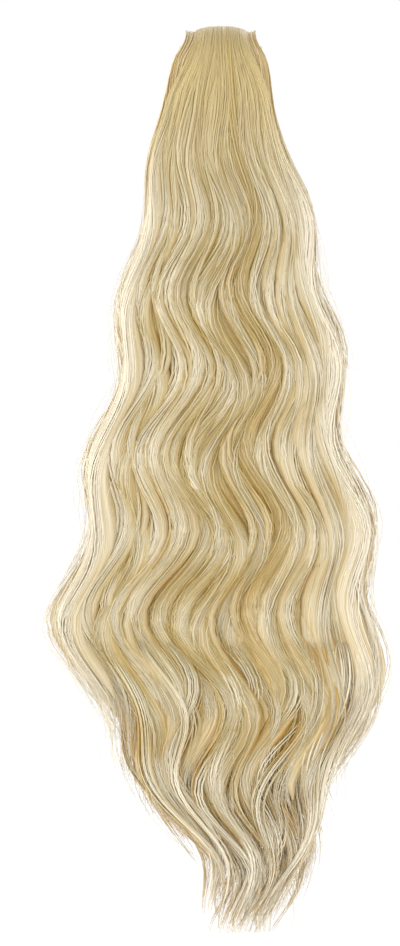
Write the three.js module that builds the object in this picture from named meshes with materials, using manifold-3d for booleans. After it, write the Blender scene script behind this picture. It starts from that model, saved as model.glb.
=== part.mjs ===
// A wavy ponytail hairpiece: three layers of hair, each sewn along one edge, carried by a claw clip.
// Millimetres, +Z up. The origin is the middle of the claw's grip. The wearer's head is on the +Y side,
// the hair that shows faces -Y, and the tail hangs down.
import * as THREE from "three";
import { mergeVertices } from "three/addons/utils/BufferGeometryUtils.js";
import Module from "manifold-3d";

const wasm = await Module();
wasm.setup();

// Driving sizes of the hair
const hairLength = 553; // from the crown to the longest tip
const halfWidth = 98; // half of the widest spread
const waveHeight = 12; // how far a wave swings to each side
const wavePitch = 98.5; // from one wave to the next
const firstWave = 114; // the first swing to the right, below the crown
const layerDepth = 14; // thickness of one layer of hair, where it starts to hang
const endDepth = 7; // thickness of one layer of hair at the level of the longest tip
const middleCrownDepth = 7.3; // the middle layer, where it lies over the clip
const outerCrownDepth = 4.1; // the outer layer, over the middle one
const crownBack = 9; // how far the sewn edges reach behind the grip's middle
const crownFoot = -6; // height where the layers stop turning over the clip and hang straight
const frontRoom = 2; // between the closed jaws and the hair that hangs in front of them
const underRise = 8; // how far the under layer reaches up in front of the lower jaw
const underReach = 8; // how far the under layer reaches back below the clip, past the grip's middle
const outerSewn = 32; // width of the outer layer's sewn edge
const middleSewn = 42;
const underSewn = 42;
const sewnThickness = 2.4; // the sewn edge that joins the locks of a layer
const tipThickness = 1.6; // of a lock at its end
const gap = 0.3; // clearance between neighbouring pieces

// Driving sizes of the claw clip
const clipLength = 52;
const clipRadius = 16; // outside of the closed jaws
const clipWall = 2.2;
const clipCorner = 9; // rounding of the jaws' corners, seen from above
const toothPitch = 7.4;
const toothWidth = 3;
const toothRootAngle = 40; // degrees above the middle, where a jaw divides into teeth
const toothTipAngle = -14; // degrees, past the middle, so that the teeth interlock
const jawBackAngle = 176; // degrees, where a jaw ends at the hinge
const hingeRadius = 3.2;
const hingeLength = 36;
const springRadius = 4;
const springWire = 1.6;
const springTurns = 5;
const tabRoot = 1.3; // height of a tab's inner face at the hinge
const tabReach = 11; // how far the thumb tabs stand out behind the hinge
const tabRise = 10; // height of a tab's inner face at its end
const tabWidth = 30;
const tabCorner = 6;

// Sheets between the layers, worked out from the sizes above. A sheet starts behind the crown at its
// top, turns over the clip and hangs from its front to its end, both measured towards -Y.
const underFront = clipRadius + frontRoom;
const underTop = underRise - clipRadius;
const clipCover = { top: clipRadius + gap, front: underFront + gap, end: underFront + gap };
const middleCover = raised(clipCover, middleCrownDepth, layerDepth, endDepth);
const outerBed = raised(middleCover, gap, gap, gap);
const outerCover = raised(outerBed, outerCrownDepth, layerDepth, endDepth);
const underBed = { top: underTop, front: underFront, end: underFront };
const underCover = raised(underBed, 0, -layerDepth, -endDepth);
const crownTop = outerCover.top;
const hingeY = hingeRadius / 2 - clipRadius;

function raised(sheet, upward, forward, forwardAtEnd) {
  return {
    top: sheet.top + upward,
    front: sheet.front + forward,
    end: sheet.end + forwardAtEnd,
  };
}

// The falling hair, level by level. drop is a share of the hair's length below the crown, left and
// right are shares of the half width, and wave is a share of the wave's height.
const fall = [
  { drop: 0.0, left: 0.18, right: 0.18, wave: 0.0 },
  { drop: 0.04, left: 0.31, right: 0.3, wave: 0.0 },
  { drop: 0.1, left: 0.39, right: 0.36, wave: 0.1 },
  { drop: 0.2, left: 0.52, right: 0.54, wave: 0.6 },
  { drop: 0.3, left: 0.61, right: 0.71, wave: 0.95 },
  { drop: 0.4, left: 0.72, right: 0.77, wave: 1.0 },
  { drop: 0.5, left: 0.83, right: 0.91, wave: 1.0 },
  { drop: 0.6, left: 0.95, right: 0.97, wave: 1.0 },
  { drop: 0.66, left: 1.03, right: 1.03, wave: 1.0 },
  { drop: 0.72, left: 0.96, right: 1.0, wave: 1.0 },
  { drop: 0.8, left: 0.76, right: 0.96, wave: 1.0 },
  { drop: 0.9, left: 0.57, right: 0.75, wave: 0.9 },
  { drop: 1.0, left: 0.38, right: 0.62, wave: 0.8 },
];

// One row for each lock, from left to right. width is its share of the layer, reach is a share of
// the hair's length, and curl is how far its tip turns to the side, as a share of the half width.
const outerLocks = [
  { width: 0.13, reach: 0.8, curl: 0.02 },
  { width: 0.15, reach: 0.87, curl: 0.06 },
  { width: 0.12, reach: 0.91, curl: -0.05 },
  { width: 0.17, reach: 0.95, curl: 0.06 },
  { width: 0.13, reach: 0.93, curl: -0.06 },
  { width: 0.16, reach: 0.9, curl: 0.03 },
  { width: 0.14, reach: 0.82, curl: -0.06 },
];
const middleLocks = [
  { width: 0.16, reach: 0.83, curl: 0.03 },
  { width: 0.2, reach: 0.92, curl: -0.05 },
  { width: 0.18, reach: 0.98, curl: -0.06 },
  { width: 0.17, reach: 0.99, curl: 0.09 },
  { width: 0.15, reach: 0.98, curl: 0.12 },
  { width: 0.14, reach: 0.86, curl: -0.05 },
];
const underLocks = [
  { width: 0.18, reach: 0.86, curl: 0.07 },
  { width: 0.16, reach: 0.96, curl: -0.05 },
  { width: 0.17, reach: 1.0, curl: 0.06 },
  { width: 0.15, reach: 0.99, curl: 0.14 },
  { width: 0.19, reach: 0.96, curl: 0.06 },
  { width: 0.15, reach: 0.87, curl: -0.08 },
];

// A layer fills the room between a bed, which lies on what is behind it, and a cover, where its locks
// stand out. sewn is the width of its sewn edge, fanned is the drop where it has spread to the whole
// fall, parts is the drop where its locks part, and share is its part of the fall's width. turns says
// if it turns over the clip, and extraRoot thickens its upper end. furrow, edgeThin and roll are the
// shares of its depth that are lost between two locks, at its sides and along its waves, and lag
// shifts its waves, in turns.
const outer = {
  locks: outerLocks,
  bed: outerBed,
  cover: outerCover,
  sewn: outerSewn,
  fanned: 0.09,
  parts: 0.62,
  share: 0.95,
  turns: true,
  extraRoot: 0,
  furrow: 0.5,
  edgeThin: 0.5,
  roll: 0.14,
  lag: 0,
};
const middle = {
  locks: middleLocks,
  bed: clipCover,
  cover: middleCover,
  sewn: middleSewn,
  fanned: 0.04,
  parts: 0.66,
  share: 1,
  turns: true,
  extraRoot: 0,
  furrow: 0.25,
  edgeThin: 0.1,
  roll: 0,
  lag: 0.03,
};
const under = {
  locks: underLocks,
  bed: underBed,
  cover: underCover,
  sewn: underSewn,
  fanned: 0.25,
  parts: 0.68,
  share: 0.96,
  turns: false,
  extraRoot: underFront + underReach - layerDepth,
  furrow: 0.5,
  edgeThin: 0.5,
  roll: 0.14,
  lag: -0.05,
};

// Shape of the locks. Depths are shares of a layer's depth.
const rowStep = 15.5; // height of a row of faces
const crownRows = 5;
const columnsPerLock = 4;
const crownSquareness = 0.7; // below 1, the layers turn over the clip with a fuller corner
const furrowsFrom = 0.04; // drop where the furrows start
const furrowsFull = 0.16; // drop where they are whole
const rootFull = 0.2; // drop where the thick upper end of the under layer is over
const drawnIn = 0.93; // share of its width that a lock loses at its tip
const drawnLate = 2.2; // above 1, it keeps its width for longer
const thinsLate = 1.4; // above 1, it keeps its thickness for longer
const sideSharpness = 6; // above 1, a layer only thins close to its sides
const edgeCalm = 0.65; // share of the wave that the outermost hair loses
const tiltOfWaves = 0.04; // turns by which a wave comes later at the sides

const degrees = Math.PI / 180;
const { clamp, lerp, smoothstep } = THREE.MathUtils;

// A smooth value from one column of the fall's table.
function levelValue(column, drop) {
  const at = clamp(drop, 0, 1);
  const last = fall.length - 1;
  const i = Math.min(Math.max(fall.findIndex((row) => row.drop >= at), 1), last);
  const slope = (k) => {
    const before = fall[Math.max(k - 1, 0)];
    const after = fall[Math.min(k + 1, last)];
    return (after[column] - before[column]) / (after.drop - before.drop);
  };
  const [a, b] = [fall[i - 1], fall[i]];
  const span = b.drop - a.drop;
  const t = (at - a.drop) / span;
  const [t2, t3] = [t * t, t * t * t];
  return (
    (2 * t3 - 3 * t2 + 1) * a[column] +
    (t3 - 2 * t2 + t) * span * slope(i - 1) +
    (3 * t2 - 2 * t3) * b[column] +
    (t3 - t2) * span * slope(i)
  );
}

// The places of a layer's locks. heart is the middle of a lock, and sides are the columns of faces
// across it, all from -1 at the layer's left to 1 at its right.
function lockPlaces(layer) {
  const whole = layer.locks.reduce((sum, lock) => sum + lock.width, 0);
  let left = -1;
  return layer.locks.map((lock) => {
    const span = (2 * lock.width) / whole;
    const from = left;
    const sides = Array.from(
      { length: columnsPerLock + 1 },
      (_, i) => from + (span * i) / columnsPerLock,
    );
    left += span;
    return { ...lock, heart: left - span / 2, half: span / 2, sides };
  });
}

// A point of a sheet in Y and Z, at a turn over the clip in degrees, or below it at a height.
function sheetPoint(sheet, station) {
  if (station.turn !== undefined) {
    const forward = Math.sin(station.turn * degrees) ** crownSquareness;
    const upward = Math.cos(station.turn * degrees) ** crownSquareness;
    return new THREE.Vector2(
      crownBack - (sheet.front + crownBack) * forward,
      crownFoot + (sheet.top - crownFoot) * upward,
    );
  }
  const sunk = (crownFoot - station.height) / (crownFoot - crownTop + hairLength);
  return new THREE.Vector2(-lerp(sheet.front, sheet.end, sunk), station.height);
}

// A point of a layer: on its shown side where lift is 1, and on its bed where lift is 0. ending runs
// from 0 where the locks part to 1 at the lock's tip.
function layerPoint(layer, lock, side, station, ending, lift) {
  const bed = sheetPoint(layer.bed, station);
  const cover = sheetPoint(layer.cover, station);
  const dropOfBed = (crownTop - bed.y) / hairLength;
  const kept = 1 - drawnIn * ending ** drawnLate;
  const place = lerp(lock.heart, side, kept);
  const turnAt = (drop) =>
    2 * Math.PI * ((hairLength * drop - firstWave) / wavePitch + layer.lag + tiltOfWaves * place);

  const inLock = (side - lock.heart) / lock.half;
  const furrow = layer.furrow * smoothstep(dropOfBed, furrowsFrom, furrowsFull);
  const relief = 1 - furrow * inLock ** 2;
  const roll = layer.roll * levelValue("wave", dropOfBed) * (1 + Math.sin(turnAt(dropOfBed)));
  const thin = 1 - layer.edgeThin * Math.abs(side) ** sideSharpness;
  const root = layer.extraRoot * (1 - smoothstep(dropOfBed, 0, rootFull));
  const depth = lerp(relief * (1 - roll) * thin, tipThickness / layerDepth, ending ** thinsLate);
  const at = bed.clone().lerp(cover, lift * depth);
  at.x += lift * root;

  const drop = (crownTop - at.y) / hairLength;
  const [left, right] = [levelValue("left", drop), levelValue("right", drop)];
  const fanned = smoothstep(drop, 0, layer.fanned);
  const half = lerp(layer.sewn / 2, ((left + right) / 2) * halfWidth * layer.share, fanned);
  const centre = ((right - left) / 2) * halfWidth * fanned;
  const swing = levelValue("wave", drop) * waveHeight * (1 - edgeCalm * place * place);
  const curl = lock.curl * halfWidth * ending * ending;
  const across = centre + half * place + swing * Math.cos(turnAt(drop)) + curl;
  return new THREE.Vector3(across, at.x, at.y);
}

// A merged, closed geometry as a solid.
function solidFrom(geometry) {
  const bare = geometry.clone();
  bare.deleteAttribute("normal");
  bare.deleteAttribute("uv");
  const merged = mergeVertices(bare, 1e-4);
  return new wasm.Manifold(
    new wasm.Mesh({
      numProp: 3,
      vertProperties: merged.attributes.position.array,
      triVerts: new Uint32Array(merged.index.array),
    }),
  );
}

// A solid as a named mesh.
function meshFrom(solid, name, material) {
  const made = solid.getMesh();
  const geometry = new THREE.BufferGeometry();
  const places = new THREE.BufferAttribute(new Float32Array(made.vertProperties), 3);
  geometry.setAttribute("position", places);
  geometry.setIndex(new THREE.BufferAttribute(new Uint32Array(made.triVerts), 1));
  geometry.computeVertexNormals();
  const mesh = new THREE.Mesh(geometry, material);
  mesh.name = name;
  return mesh;
}

// A shape drawn in Y and Z, made into a bar along X around the middle.
function barAcross(shape, length, curveSegments = 12) {
  const geometry = new THREE.ExtrudeGeometry(shape, {
    depth: length,
    bevelEnabled: false,
    curveSegments,
  });
  geometry.translate(0, 0, -length / 2);
  geometry.applyMatrix4(
    new THREE.Matrix4().makeBasis(
      new THREE.Vector3(0, 1, 0),
      new THREE.Vector3(0, 0, 1),
      new THREE.Vector3(1, 0, 0),
    ),
  );
  return solidFrom(geometry);
}

function boxBetween(low, high) {
  const size = new THREE.Vector3().subVectors(high, low);
  const geometry = new THREE.BoxGeometry(size.x, size.y, size.z);
  geometry.translate(low.x + size.x / 2, low.y + size.y / 2, low.z + size.z / 2);
  return solidFrom(geometry);
}

function joined(solids) {
  return solids.reduce((whole, solid) => whole.add(solid));
}

// Evenly spaced heights from one level down to another, without the first.
function levelsBelow(from, to) {
  const count = Math.ceil((from - to) / rowStep);
  return Array.from({ length: count }, (_, i) => ({ height: lerp(from, to, (i + 1) / count) }));
}

// The faces between two rings of a layer. A ring has twice as many steps on its shown side as on its
// bed.
function stitch(faces, upper, lower) {
  const quad = (a, b, c, d) => faces.push([a, b, c], [a, c, d]);
  for (let i = 0; i < upper.shown.length - 1; i += 1) {
    quad(upper.shown[i], lower.shown[i], lower.shown[i + 1], upper.shown[i + 1]);
  }
  for (let i = 0; i < upper.bed.length - 1; i += 1) {
    quad(upper.bed[i], upper.bed[i + 1], lower.bed[i + 1], lower.bed[i]);
  }
  quad(upper.shown[0], upper.bed[0], lower.bed[0], lower.shown[0]);
  quad(upper.shown.at(-1), lower.shown.at(-1), lower.bed.at(-1), upper.bed.at(-1));
}

// The faces that close a ring, at a layer's sewn edge or at a lock's tip.
function closeRing(faces, ring, isTip) {
  for (let i = 0; i < ring.bed.length - 1; i += 1) {
    const [a, b, c] = ring.shown.slice(2 * i, 2 * i + 3);
    const [d, e] = ring.bed.slice(i, i + 2);
    const closing = [
      [a, b, d],
      [b, c, e],
      [b, e, d],
    ];
    faces.push(...(isTip ? closing.map((face) => face.reverse()) : closing));
  }
}

function firstStation(layer) {
  return layer.turns ? { turn: 0 } : { height: layer.bed.top };
}

// A layer of hair as one closed solid: a whole sheet above the level where its locks part, and one
// tapering end for each lock below it.
function layerSolid(layer) {
  const locks = lockPlaces(layer);
  const places = [];
  const faces = [];
  const ringOf = (columns, station, ending) => {
    const row = (chosen, lift) =>
      chosen.map(({ lock, side }) => {
        places.push(...layerPoint(layer, lock, side, station, ending, lift));
        return places.length / 3 - 1;
      });
    const onBed = columns.filter((column, i) => i % 2 === 0);
    return { shown: row(columns, 1), bed: row(onBed, 0) };
  };

  const turns = Array.from({ length: crownRows }, (_, i) => ({ turn: (90 * (i + 1)) / crownRows }));
  const hangsFrom = layer.turns ? crownFoot : layer.bed.top;
  const parting = crownTop - hairLength * layer.parts;
  const stations = [
    firstStation(layer),
    ...(layer.turns ? turns : []),
    ...levelsBelow(hangsFrom, parting),
  ];
  const columns = locks.flatMap((lock, k) =>
    lock.sides.slice(k === 0 ? 0 : 1).map((side) => ({ lock, side })),
  );
  const sheet = stations.map((station) => ringOf(columns, station, 0));
  closeRing(faces, sheet[0], false);
  sheet.slice(1).forEach((ring, i) => stitch(faces, sheet[i], ring));

  const hem = sheet.at(-1);
  locks.forEach((lock, k) => {
    const own = lock.sides.map((side) => ({ lock, side }));
    const first = k * columnsPerLock;
    let above = {
      shown: hem.shown.slice(first, first + columnsPerLock + 1),
      bed: hem.bed.slice(first / 2, (first + columnsPerLock) / 2 + 1),
    };
    const tip = crownTop - hairLength * lock.reach;
    for (const station of levelsBelow(parting, tip)) {
      const ending = (parting - station.height) / (parting - tip);
      const ring = ringOf(own, station, ending);
      stitch(faces, above, ring);
      above = ring;
    }
    closeRing(faces, above, true);
  });

  const facesFront = layer.cover.front > layer.bed.front;
  const outwards = facesFront ? faces : faces.map(([a, b, c]) => [a, c, b]);
  const geometry = new THREE.BufferGeometry();
  geometry.setAttribute("position", new THREE.Float32BufferAttribute(places, 3));
  geometry.setIndex(outwards.flat());
  return solidFrom(geometry).add(sewnEdge(layer));
}

// The sewn edge across the top of a layer, which its locks hang from.
function sewnEdge(layer) {
  const bed = sheetPoint(layer.bed, firstStation(layer));
  const inwards = layer.turns ? new THREE.Vector2(0, 1) : new THREE.Vector2(1, 0);
  const heart = bed.addScaledVector(inwards, sewnThickness / 2);
  const edge = new THREE.Shape();
  edge.absarc(heart.x, heart.y, sewnThickness / 2, 0, 2 * Math.PI, false);
  return barAcross(edge, layer.sewn - sewnThickness / 2, 4);
}

// The room that the closed clip takes, with its clearance.
function clipRoom() {
  const jaws = new THREE.Shape();
  jaws.absarc(0, 0, clipRadius + gap, 0, 2 * Math.PI, false);
  const reach = clipRadius + tabReach + gap;
  const rise = tabRise + clipWall + gap;
  const tabs = new THREE.Shape();
  tabs.moveTo(hingeY, -hingeRadius);
  tabs.lineTo(hingeY, hingeRadius);
  tabs.lineTo(-clipRadius, springRadius + clipWall);
  tabs.lineTo(-reach, rise);
  tabs.lineTo(-reach, -rise);
  tabs.lineTo(-clipRadius, -springRadius - clipWall);
  tabs.closePath();
  const barrel = new THREE.Shape();
  barrel.absarc(hingeY, 0, springRadius + gap, 0, 2 * Math.PI, false);
  return barAcross(jaws, clipLength + 2 * gap, 16)
    .add(barAcross(tabs, tabWidth + 2 * gap))
    .add(barAcross(barrel, hingeLength + 2 * gap, 4));
}

function layerAroundClip(layer) {
  return layerSolid(layer).subtract(clipRoom());
}

// A band of the jaws' wall between two angles, measured from the +Y side upwards.
function jawBand(fromAngle, toAngle) {
  const band = new THREE.Shape();
  band.absarc(0, 0, clipRadius, fromAngle * degrees, toAngle * degrees, false);
  band.absarc(0, 0, clipRadius - clipWall, toAngle * degrees, fromAngle * degrees, true);
  band.closePath();
  return band;
}

// One jaw. up is 1 for the upper jaw and -1 for the lower, and shift moves its teeth along X.
function jaw(up, shift) {
  const angles = [up * toothTipAngle, up * jawBackAngle].sort((a, b) => a - b);
  const wall = barAcross(jawBand(...angles), clipLength, 12);
  const rootY = clipRadius * Math.cos(toothRootAngle * degrees);
  const rootZ = clipRadius * Math.sin(toothRootAngle * degrees);
  const far = 2 * clipRadius;
  const low = up > 0 ? -far : -rootZ;
  const high = up > 0 ? rootZ : far;
  const count = Math.ceil(clipLength / toothPitch) + 2;
  const notches = [];
  for (let i = -count; i <= count; i += 1) {
    const left = i * toothPitch + shift + toothWidth / 2;
    notches.push(
      boxBetween(
        new THREE.Vector3(left, rootY - clipWall, low),
        new THREE.Vector3(left + toothPitch - toothWidth, far, high),
      ),
    );
  }
  return wall.subtract(joined(notches));
}

// One thumb tab, a plate that slopes out from the hinge.
function thumbTab(up) {
  const plate = new THREE.Shape();
  plate.moveTo(-clipRadius + clipWall, up * tabRoot);
  plate.lineTo(-clipRadius - tabReach, up * tabRise);
  plate.lineTo(-clipRadius - tabReach, up * (tabRise + clipWall));
  plate.lineTo(-clipRadius + clipWall, up * (tabRoot + clipWall));
  plate.closePath();
  return barAcross(plate, tabWidth);
}

// A rectangle with round corners, seen from above, as a tall block.
function planBlock(width, back, front, corner) {
  const plan = new THREE.Shape();
  const half = width / 2;
  plan.absarc(half - corner, front - corner, corner, 0, 90 * degrees, false);
  plan.absarc(-half + corner, front - corner, corner, 90 * degrees, 180 * degrees, false);
  plan.absarc(-half + corner, back + corner, corner, 180 * degrees, 270 * degrees, false);
  plan.absarc(half - corner, back + corner, corner, 270 * degrees, 360 * degrees, false);
  plan.closePath();
  const height = 4 * clipRadius;
  const geometry = new THREE.ExtrudeGeometry(plan, {
    depth: height,
    bevelEnabled: false,
    curveSegments: 5,
  });
  geometry.translate(0, 0, -height / 2);
  return solidFrom(geometry);
}

// The hinge's barrel with the turns of its spring.
function hinge() {
  const barrel = new THREE.CylinderGeometry(hingeRadius, hingeRadius, hingeLength, 12);
  barrel.rotateZ(90 * degrees);
  barrel.translate(0, hingeY, 0);
  const turns = [];
  for (let i = 0; i < springTurns; i += 1) {
    const turn = new THREE.CylinderGeometry(springRadius, springRadius, springWire, 12);
    turn.rotateZ(90 * degrees);
    turn.translate((i - (springTurns - 1) / 2) * springWire * 1.5, hingeY, 0);
    turns.push(solidFrom(turn));
  }
  return solidFrom(barrel).add(joined(turns));
}

// The claw clip as one plain piece, closed.
function clawClip() {
  const jaws = jaw(1, 0).add(jaw(-1, toothPitch / 2));
  const tabs = thumbTab(1).add(thumbTab(-1));
  return jaws
    .intersect(planBlock(clipLength, -clipRadius - 1, clipRadius + 1, clipCorner))
    .add(tabs.intersect(planBlock(tabWidth, -clipRadius - tabReach, clipRadius, tabCorner)))
    .add(hinge());
}

const blondeOuter = new THREE.MeshStandardMaterial({ color: 0xd9c9a0, roughness: 0.5, metalness: 0 });
const blondeMiddle = new THREE.MeshStandardMaterial({ color: 0xcbb682, roughness: 0.52, metalness: 0 });
const blondeUnder = new THREE.MeshStandardMaterial({ color: 0xbda266, roughness: 0.55, metalness: 0 });
const clipPlastic = new THREE.MeshStandardMaterial({ color: 0xd8c49a, roughness: 0.35, metalness: 0 });

const hairpiece = new THREE.Group();
hairpiece.add(
  meshFrom(clawClip(), "claw_clip", clipPlastic),
  meshFrom(layerAroundClip(outer), "outer_layer", blondeOuter),
  meshFrom(layerAroundClip(middle), "middle_layer", blondeMiddle),
  meshFrom(layerAroundClip(under), "under_layer", blondeUnder),
);

export default hairpiece;
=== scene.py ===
# %% [markdown]
# # A long wavy ponytail that clips on
#
# The real thing is bundles of fine fibre, sewn by the yard into tapes. The tapes are folded over a claw
# clip, so that one layer lies over the next and the hair hides the clip. This lesson starts from the
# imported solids, which already have each layer's outline, depth and waves. It then lays thousands of
# strands along the same waves, because hair is only convincing where strands really overlap and leave
# gaps between the locks.

import math

import bpy
import numpy as np
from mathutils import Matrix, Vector


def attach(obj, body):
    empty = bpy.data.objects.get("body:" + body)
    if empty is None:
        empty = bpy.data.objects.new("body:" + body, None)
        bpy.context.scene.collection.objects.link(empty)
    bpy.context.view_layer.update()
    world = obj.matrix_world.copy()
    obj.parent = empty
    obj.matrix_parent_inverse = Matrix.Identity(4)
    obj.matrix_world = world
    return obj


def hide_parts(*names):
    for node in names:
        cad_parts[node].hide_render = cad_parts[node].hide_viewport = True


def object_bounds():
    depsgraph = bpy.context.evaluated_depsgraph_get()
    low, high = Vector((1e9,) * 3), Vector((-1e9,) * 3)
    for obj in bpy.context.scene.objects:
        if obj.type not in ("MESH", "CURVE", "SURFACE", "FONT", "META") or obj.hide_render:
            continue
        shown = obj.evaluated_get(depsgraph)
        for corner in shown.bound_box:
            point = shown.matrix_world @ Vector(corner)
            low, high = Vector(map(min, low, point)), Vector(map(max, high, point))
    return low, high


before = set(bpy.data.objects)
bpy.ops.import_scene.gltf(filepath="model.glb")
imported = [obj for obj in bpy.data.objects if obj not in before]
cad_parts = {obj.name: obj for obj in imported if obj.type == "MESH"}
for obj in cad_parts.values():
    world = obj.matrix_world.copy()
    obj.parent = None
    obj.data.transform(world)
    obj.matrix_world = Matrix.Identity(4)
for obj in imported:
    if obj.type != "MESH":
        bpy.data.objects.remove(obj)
cad_low, cad_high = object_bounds()
print("solids from", [round(v, 4) for v in cad_low], "to", [round(v, 4) for v in cad_high])

# %% [markdown]
# ## Camera
#
# A product picture of hair is taken from far away with a long lens, so that the crown and the tips are
# seen equally straight on. The camera looks along +Y at the middle of the picture. How far away it
# stands follows from its lens and from the height that the picture has to take in.

# %% Camera
MM = 0.001
SIGHT_HEIGHT = 575.2 * MM
SIGHT_MIDDLE = Vector((-12.8, -25.0, -245.2)) * MM
LENS = 250
SENSOR = 36

lens_data = bpy.data.cameras.new("front_view")
lens_data.lens = LENS
lens_data.sensor_width = SENSOR
camera = bpy.data.objects.new("front_view", lens_data)
bpy.context.scene.collection.objects.link(camera)
sight_distance = SIGHT_HEIGHT * LENS / SENSOR
camera.location = SIGHT_MIDDLE - Vector((0, sight_distance, 0))
camera.rotation_euler = (math.radians(90), 0, 0)
bpy.context.scene.camera = camera
print("camera stands", round(sight_distance, 3), "m away")

# %% [markdown]
# ## Studio
#
# Blonde hair is photographed on white, in light that comes from everywhere, with one softbox high in
# front that draws a shine on each bulge. A pale floor lies well below the tips, and a white sky takes
# the place of paper behind the hair, so every side of the piece can be looked at.

# %% Sky and softboxes
HAIR_HEART = Vector((0, -0.02, -0.25))
SOFTBOXES = [
    # name, place, size, power
    ("key_high_left", (-0.9, -2.8, 1.4), 0.9, 14),
    ("side_left", (-1.6, -0.3, -0.35), 0.9, 13),
    ("side_right", (1.6, -0.3, -0.35), 0.9, 6),
    ("fill_low", (0.1, -1.3, -1.0), 0.8, 32),
    ("rim_behind", (0.5, 1.4, 0.8), 0.8, 3),
]

sky = bpy.data.worlds.new("white_studio")
sky.use_nodes = True
sky.node_tree.nodes["Background"].inputs["Color"].default_value = (1, 1, 1, 1)
sky.node_tree.nodes["Background"].inputs["Strength"].default_value = 1.0
bpy.context.scene.world = sky
bpy.context.scene.view_settings.view_transform = "Standard"

FLOOR_DROP = 0.25
FLOOR_REACH = 40.0
FLOOR_GREY = 0.96
FLOOR_GLOW = 0.08
floor_mesh = bpy.data.meshes.new("studio_floor")
corners = [(x * FLOOR_REACH, y * FLOOR_REACH, 0) for x, y in ((-1, -1), (1, -1), (1, 1), (-1, 1))]
floor_mesh.from_pydata(corners, [], [(0, 1, 2, 3)])
floor = bpy.data.objects.new("studio_floor", floor_mesh)
floor.location.z = cad_low.z - FLOOR_DROP
bpy.context.scene.collection.objects.link(floor)
floor_paint = bpy.data.materials.new("floor_paint")
floor_paint.use_nodes = True
paint = floor_paint.node_tree.nodes["Principled BSDF"].inputs
paint["Base Color"].default_value = (FLOOR_GREY, FLOOR_GREY, FLOOR_GREY, 1)
paint["Roughness"].default_value = 0.9
paint["Emission Color"].default_value = (1, 1, 1, 1)
paint["Emission Strength"].default_value = FLOOR_GLOW
floor_mesh.materials.append(floor_paint)

for name, place, size, power in SOFTBOXES:
    light = bpy.data.lights.new(name, "AREA")
    light.size = size
    light.energy = power
    lamp = bpy.data.objects.new(name, light)
    lamp.location = place
    lamp.rotation_euler = (HAIR_HEART - Vector(place)).to_track_quat("-Z", "Y").to_euler()
    bpy.context.scene.collection.objects.link(lamp)
print(len(SOFTBOXES), "softboxes")

# %% [markdown]
# ## The waves
#
# Crimped hair waves as one body: neighbouring locks swing to the same side at the same height. So one
# table says how wide the fall is and how strong its waves are at each level, and every strand reads
# it. Lengths are in millimetres, and the table's columns are shares of the hair's length and width.

# %% The fall, level by level
HAIR_LENGTH = 553.0
HALF_WIDTH = 98.0
WAVE_HEIGHT = 12.0
WAVE_PITCH = 98.5
FIRST_WAVE = 114.0
CROWN_TOP = 28.0
CROWN_BACK = 9.0
CROWN_FOOT = -6.0
CROWN_SQUARENESS = 0.7
EDGE_CALM = 0.65
TILT_OF_WAVES = 0.04
FULL_TURN = 90.0
COLUMNS = ("drop", "left", "right", "wave")
LEVELS = np.array([
    (0.00, 0.18, 0.18, 0.00),
    (0.04, 0.31, 0.30, 0.00),
    (0.10, 0.39, 0.36, 0.10),
    (0.20, 0.52, 0.54, 0.60),
    (0.30, 0.61, 0.71, 0.95),
    (0.40, 0.72, 0.77, 1.00),
    (0.50, 0.83, 0.91, 1.00),
    (0.60, 0.95, 0.97, 1.00),
    (0.66, 1.03, 1.03, 1.00),
    (0.72, 0.96, 1.00, 1.00),
    (0.80, 0.76, 0.96, 1.00),
    (0.90, 0.57, 0.75, 0.90),
    (1.00, 0.38, 0.62, 0.80),
])


def fall_at(column, drop):
    """A smooth value from one column of the table, at each drop."""
    knots = LEVELS[:, 0]
    values = LEVELS[:, COLUMNS.index(column)]
    last = len(knots) - 1
    before = np.maximum(np.arange(last + 1) - 1, 0)
    after = np.minimum(np.arange(last + 1) + 1, last)
    slopes = (values[after] - values[before]) / (knots[after] - knots[before])
    at = np.clip(drop, 0, 1)
    i = np.clip(np.searchsorted(knots, at), 1, last)
    span = knots[i] - knots[i - 1]
    t = (at - knots[i - 1]) / span
    return (
        (2 * t**3 - 3 * t**2 + 1) * values[i - 1]
        + (t**3 - 2 * t**2 + t) * span * slopes[i - 1]
        + (3 * t**2 - 2 * t**3) * values[i]
        + (t**3 - t**2) * span * slopes[i]
    )


def smoothly(value, low, high):
    """0 at low and 1 at high, with soft ends."""
    t = np.clip((value - low) / (high - low), 0, 1)
    return t * t * (3 - 2 * t)


def between(a, b, share):
    return a + (b - a) * share


def sheet_point(sheet, turn, height):
    """Y and Z on a sheet that turns over the clip and then hangs down to a height."""
    top, front, end = sheet
    forward = np.sin(np.radians(turn)) ** CROWN_SQUARENESS
    upward = np.clip(np.cos(np.radians(turn)), 0, 1) ** CROWN_SQUARENESS
    sunk = (CROWN_FOOT - height) / (CROWN_FOOT - CROWN_TOP + HAIR_LENGTH)
    turning = turn < FULL_TURN
    y = np.where(turning, CROWN_BACK - (front + CROWN_BACK) * forward, -between(front, end, sunk))
    z = np.where(turning, CROWN_FOOT + (top - CROWN_FOOT) * upward, height)
    return y, z


print("widest", round(HALF_WIDTH * LEVELS[:, 1:3].sum(axis=1).max()), "mm across")

# %% [markdown]
# ## Three layers
#
# A layer fills the room between a bed, which lies on what is behind it, and a cover, where its locks
# stand out. Outer and middle layer turn forward over the clip. The under layer is sewn to the lower
# jaw and makes the back of the tail. A bed or cover is given by its top, its front at the crown and
# its front at the tips. Each tip is one lock of the solids, from left to right: its share of the
# width, how far down it reaches, and how far its tip curls to the side.

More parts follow.
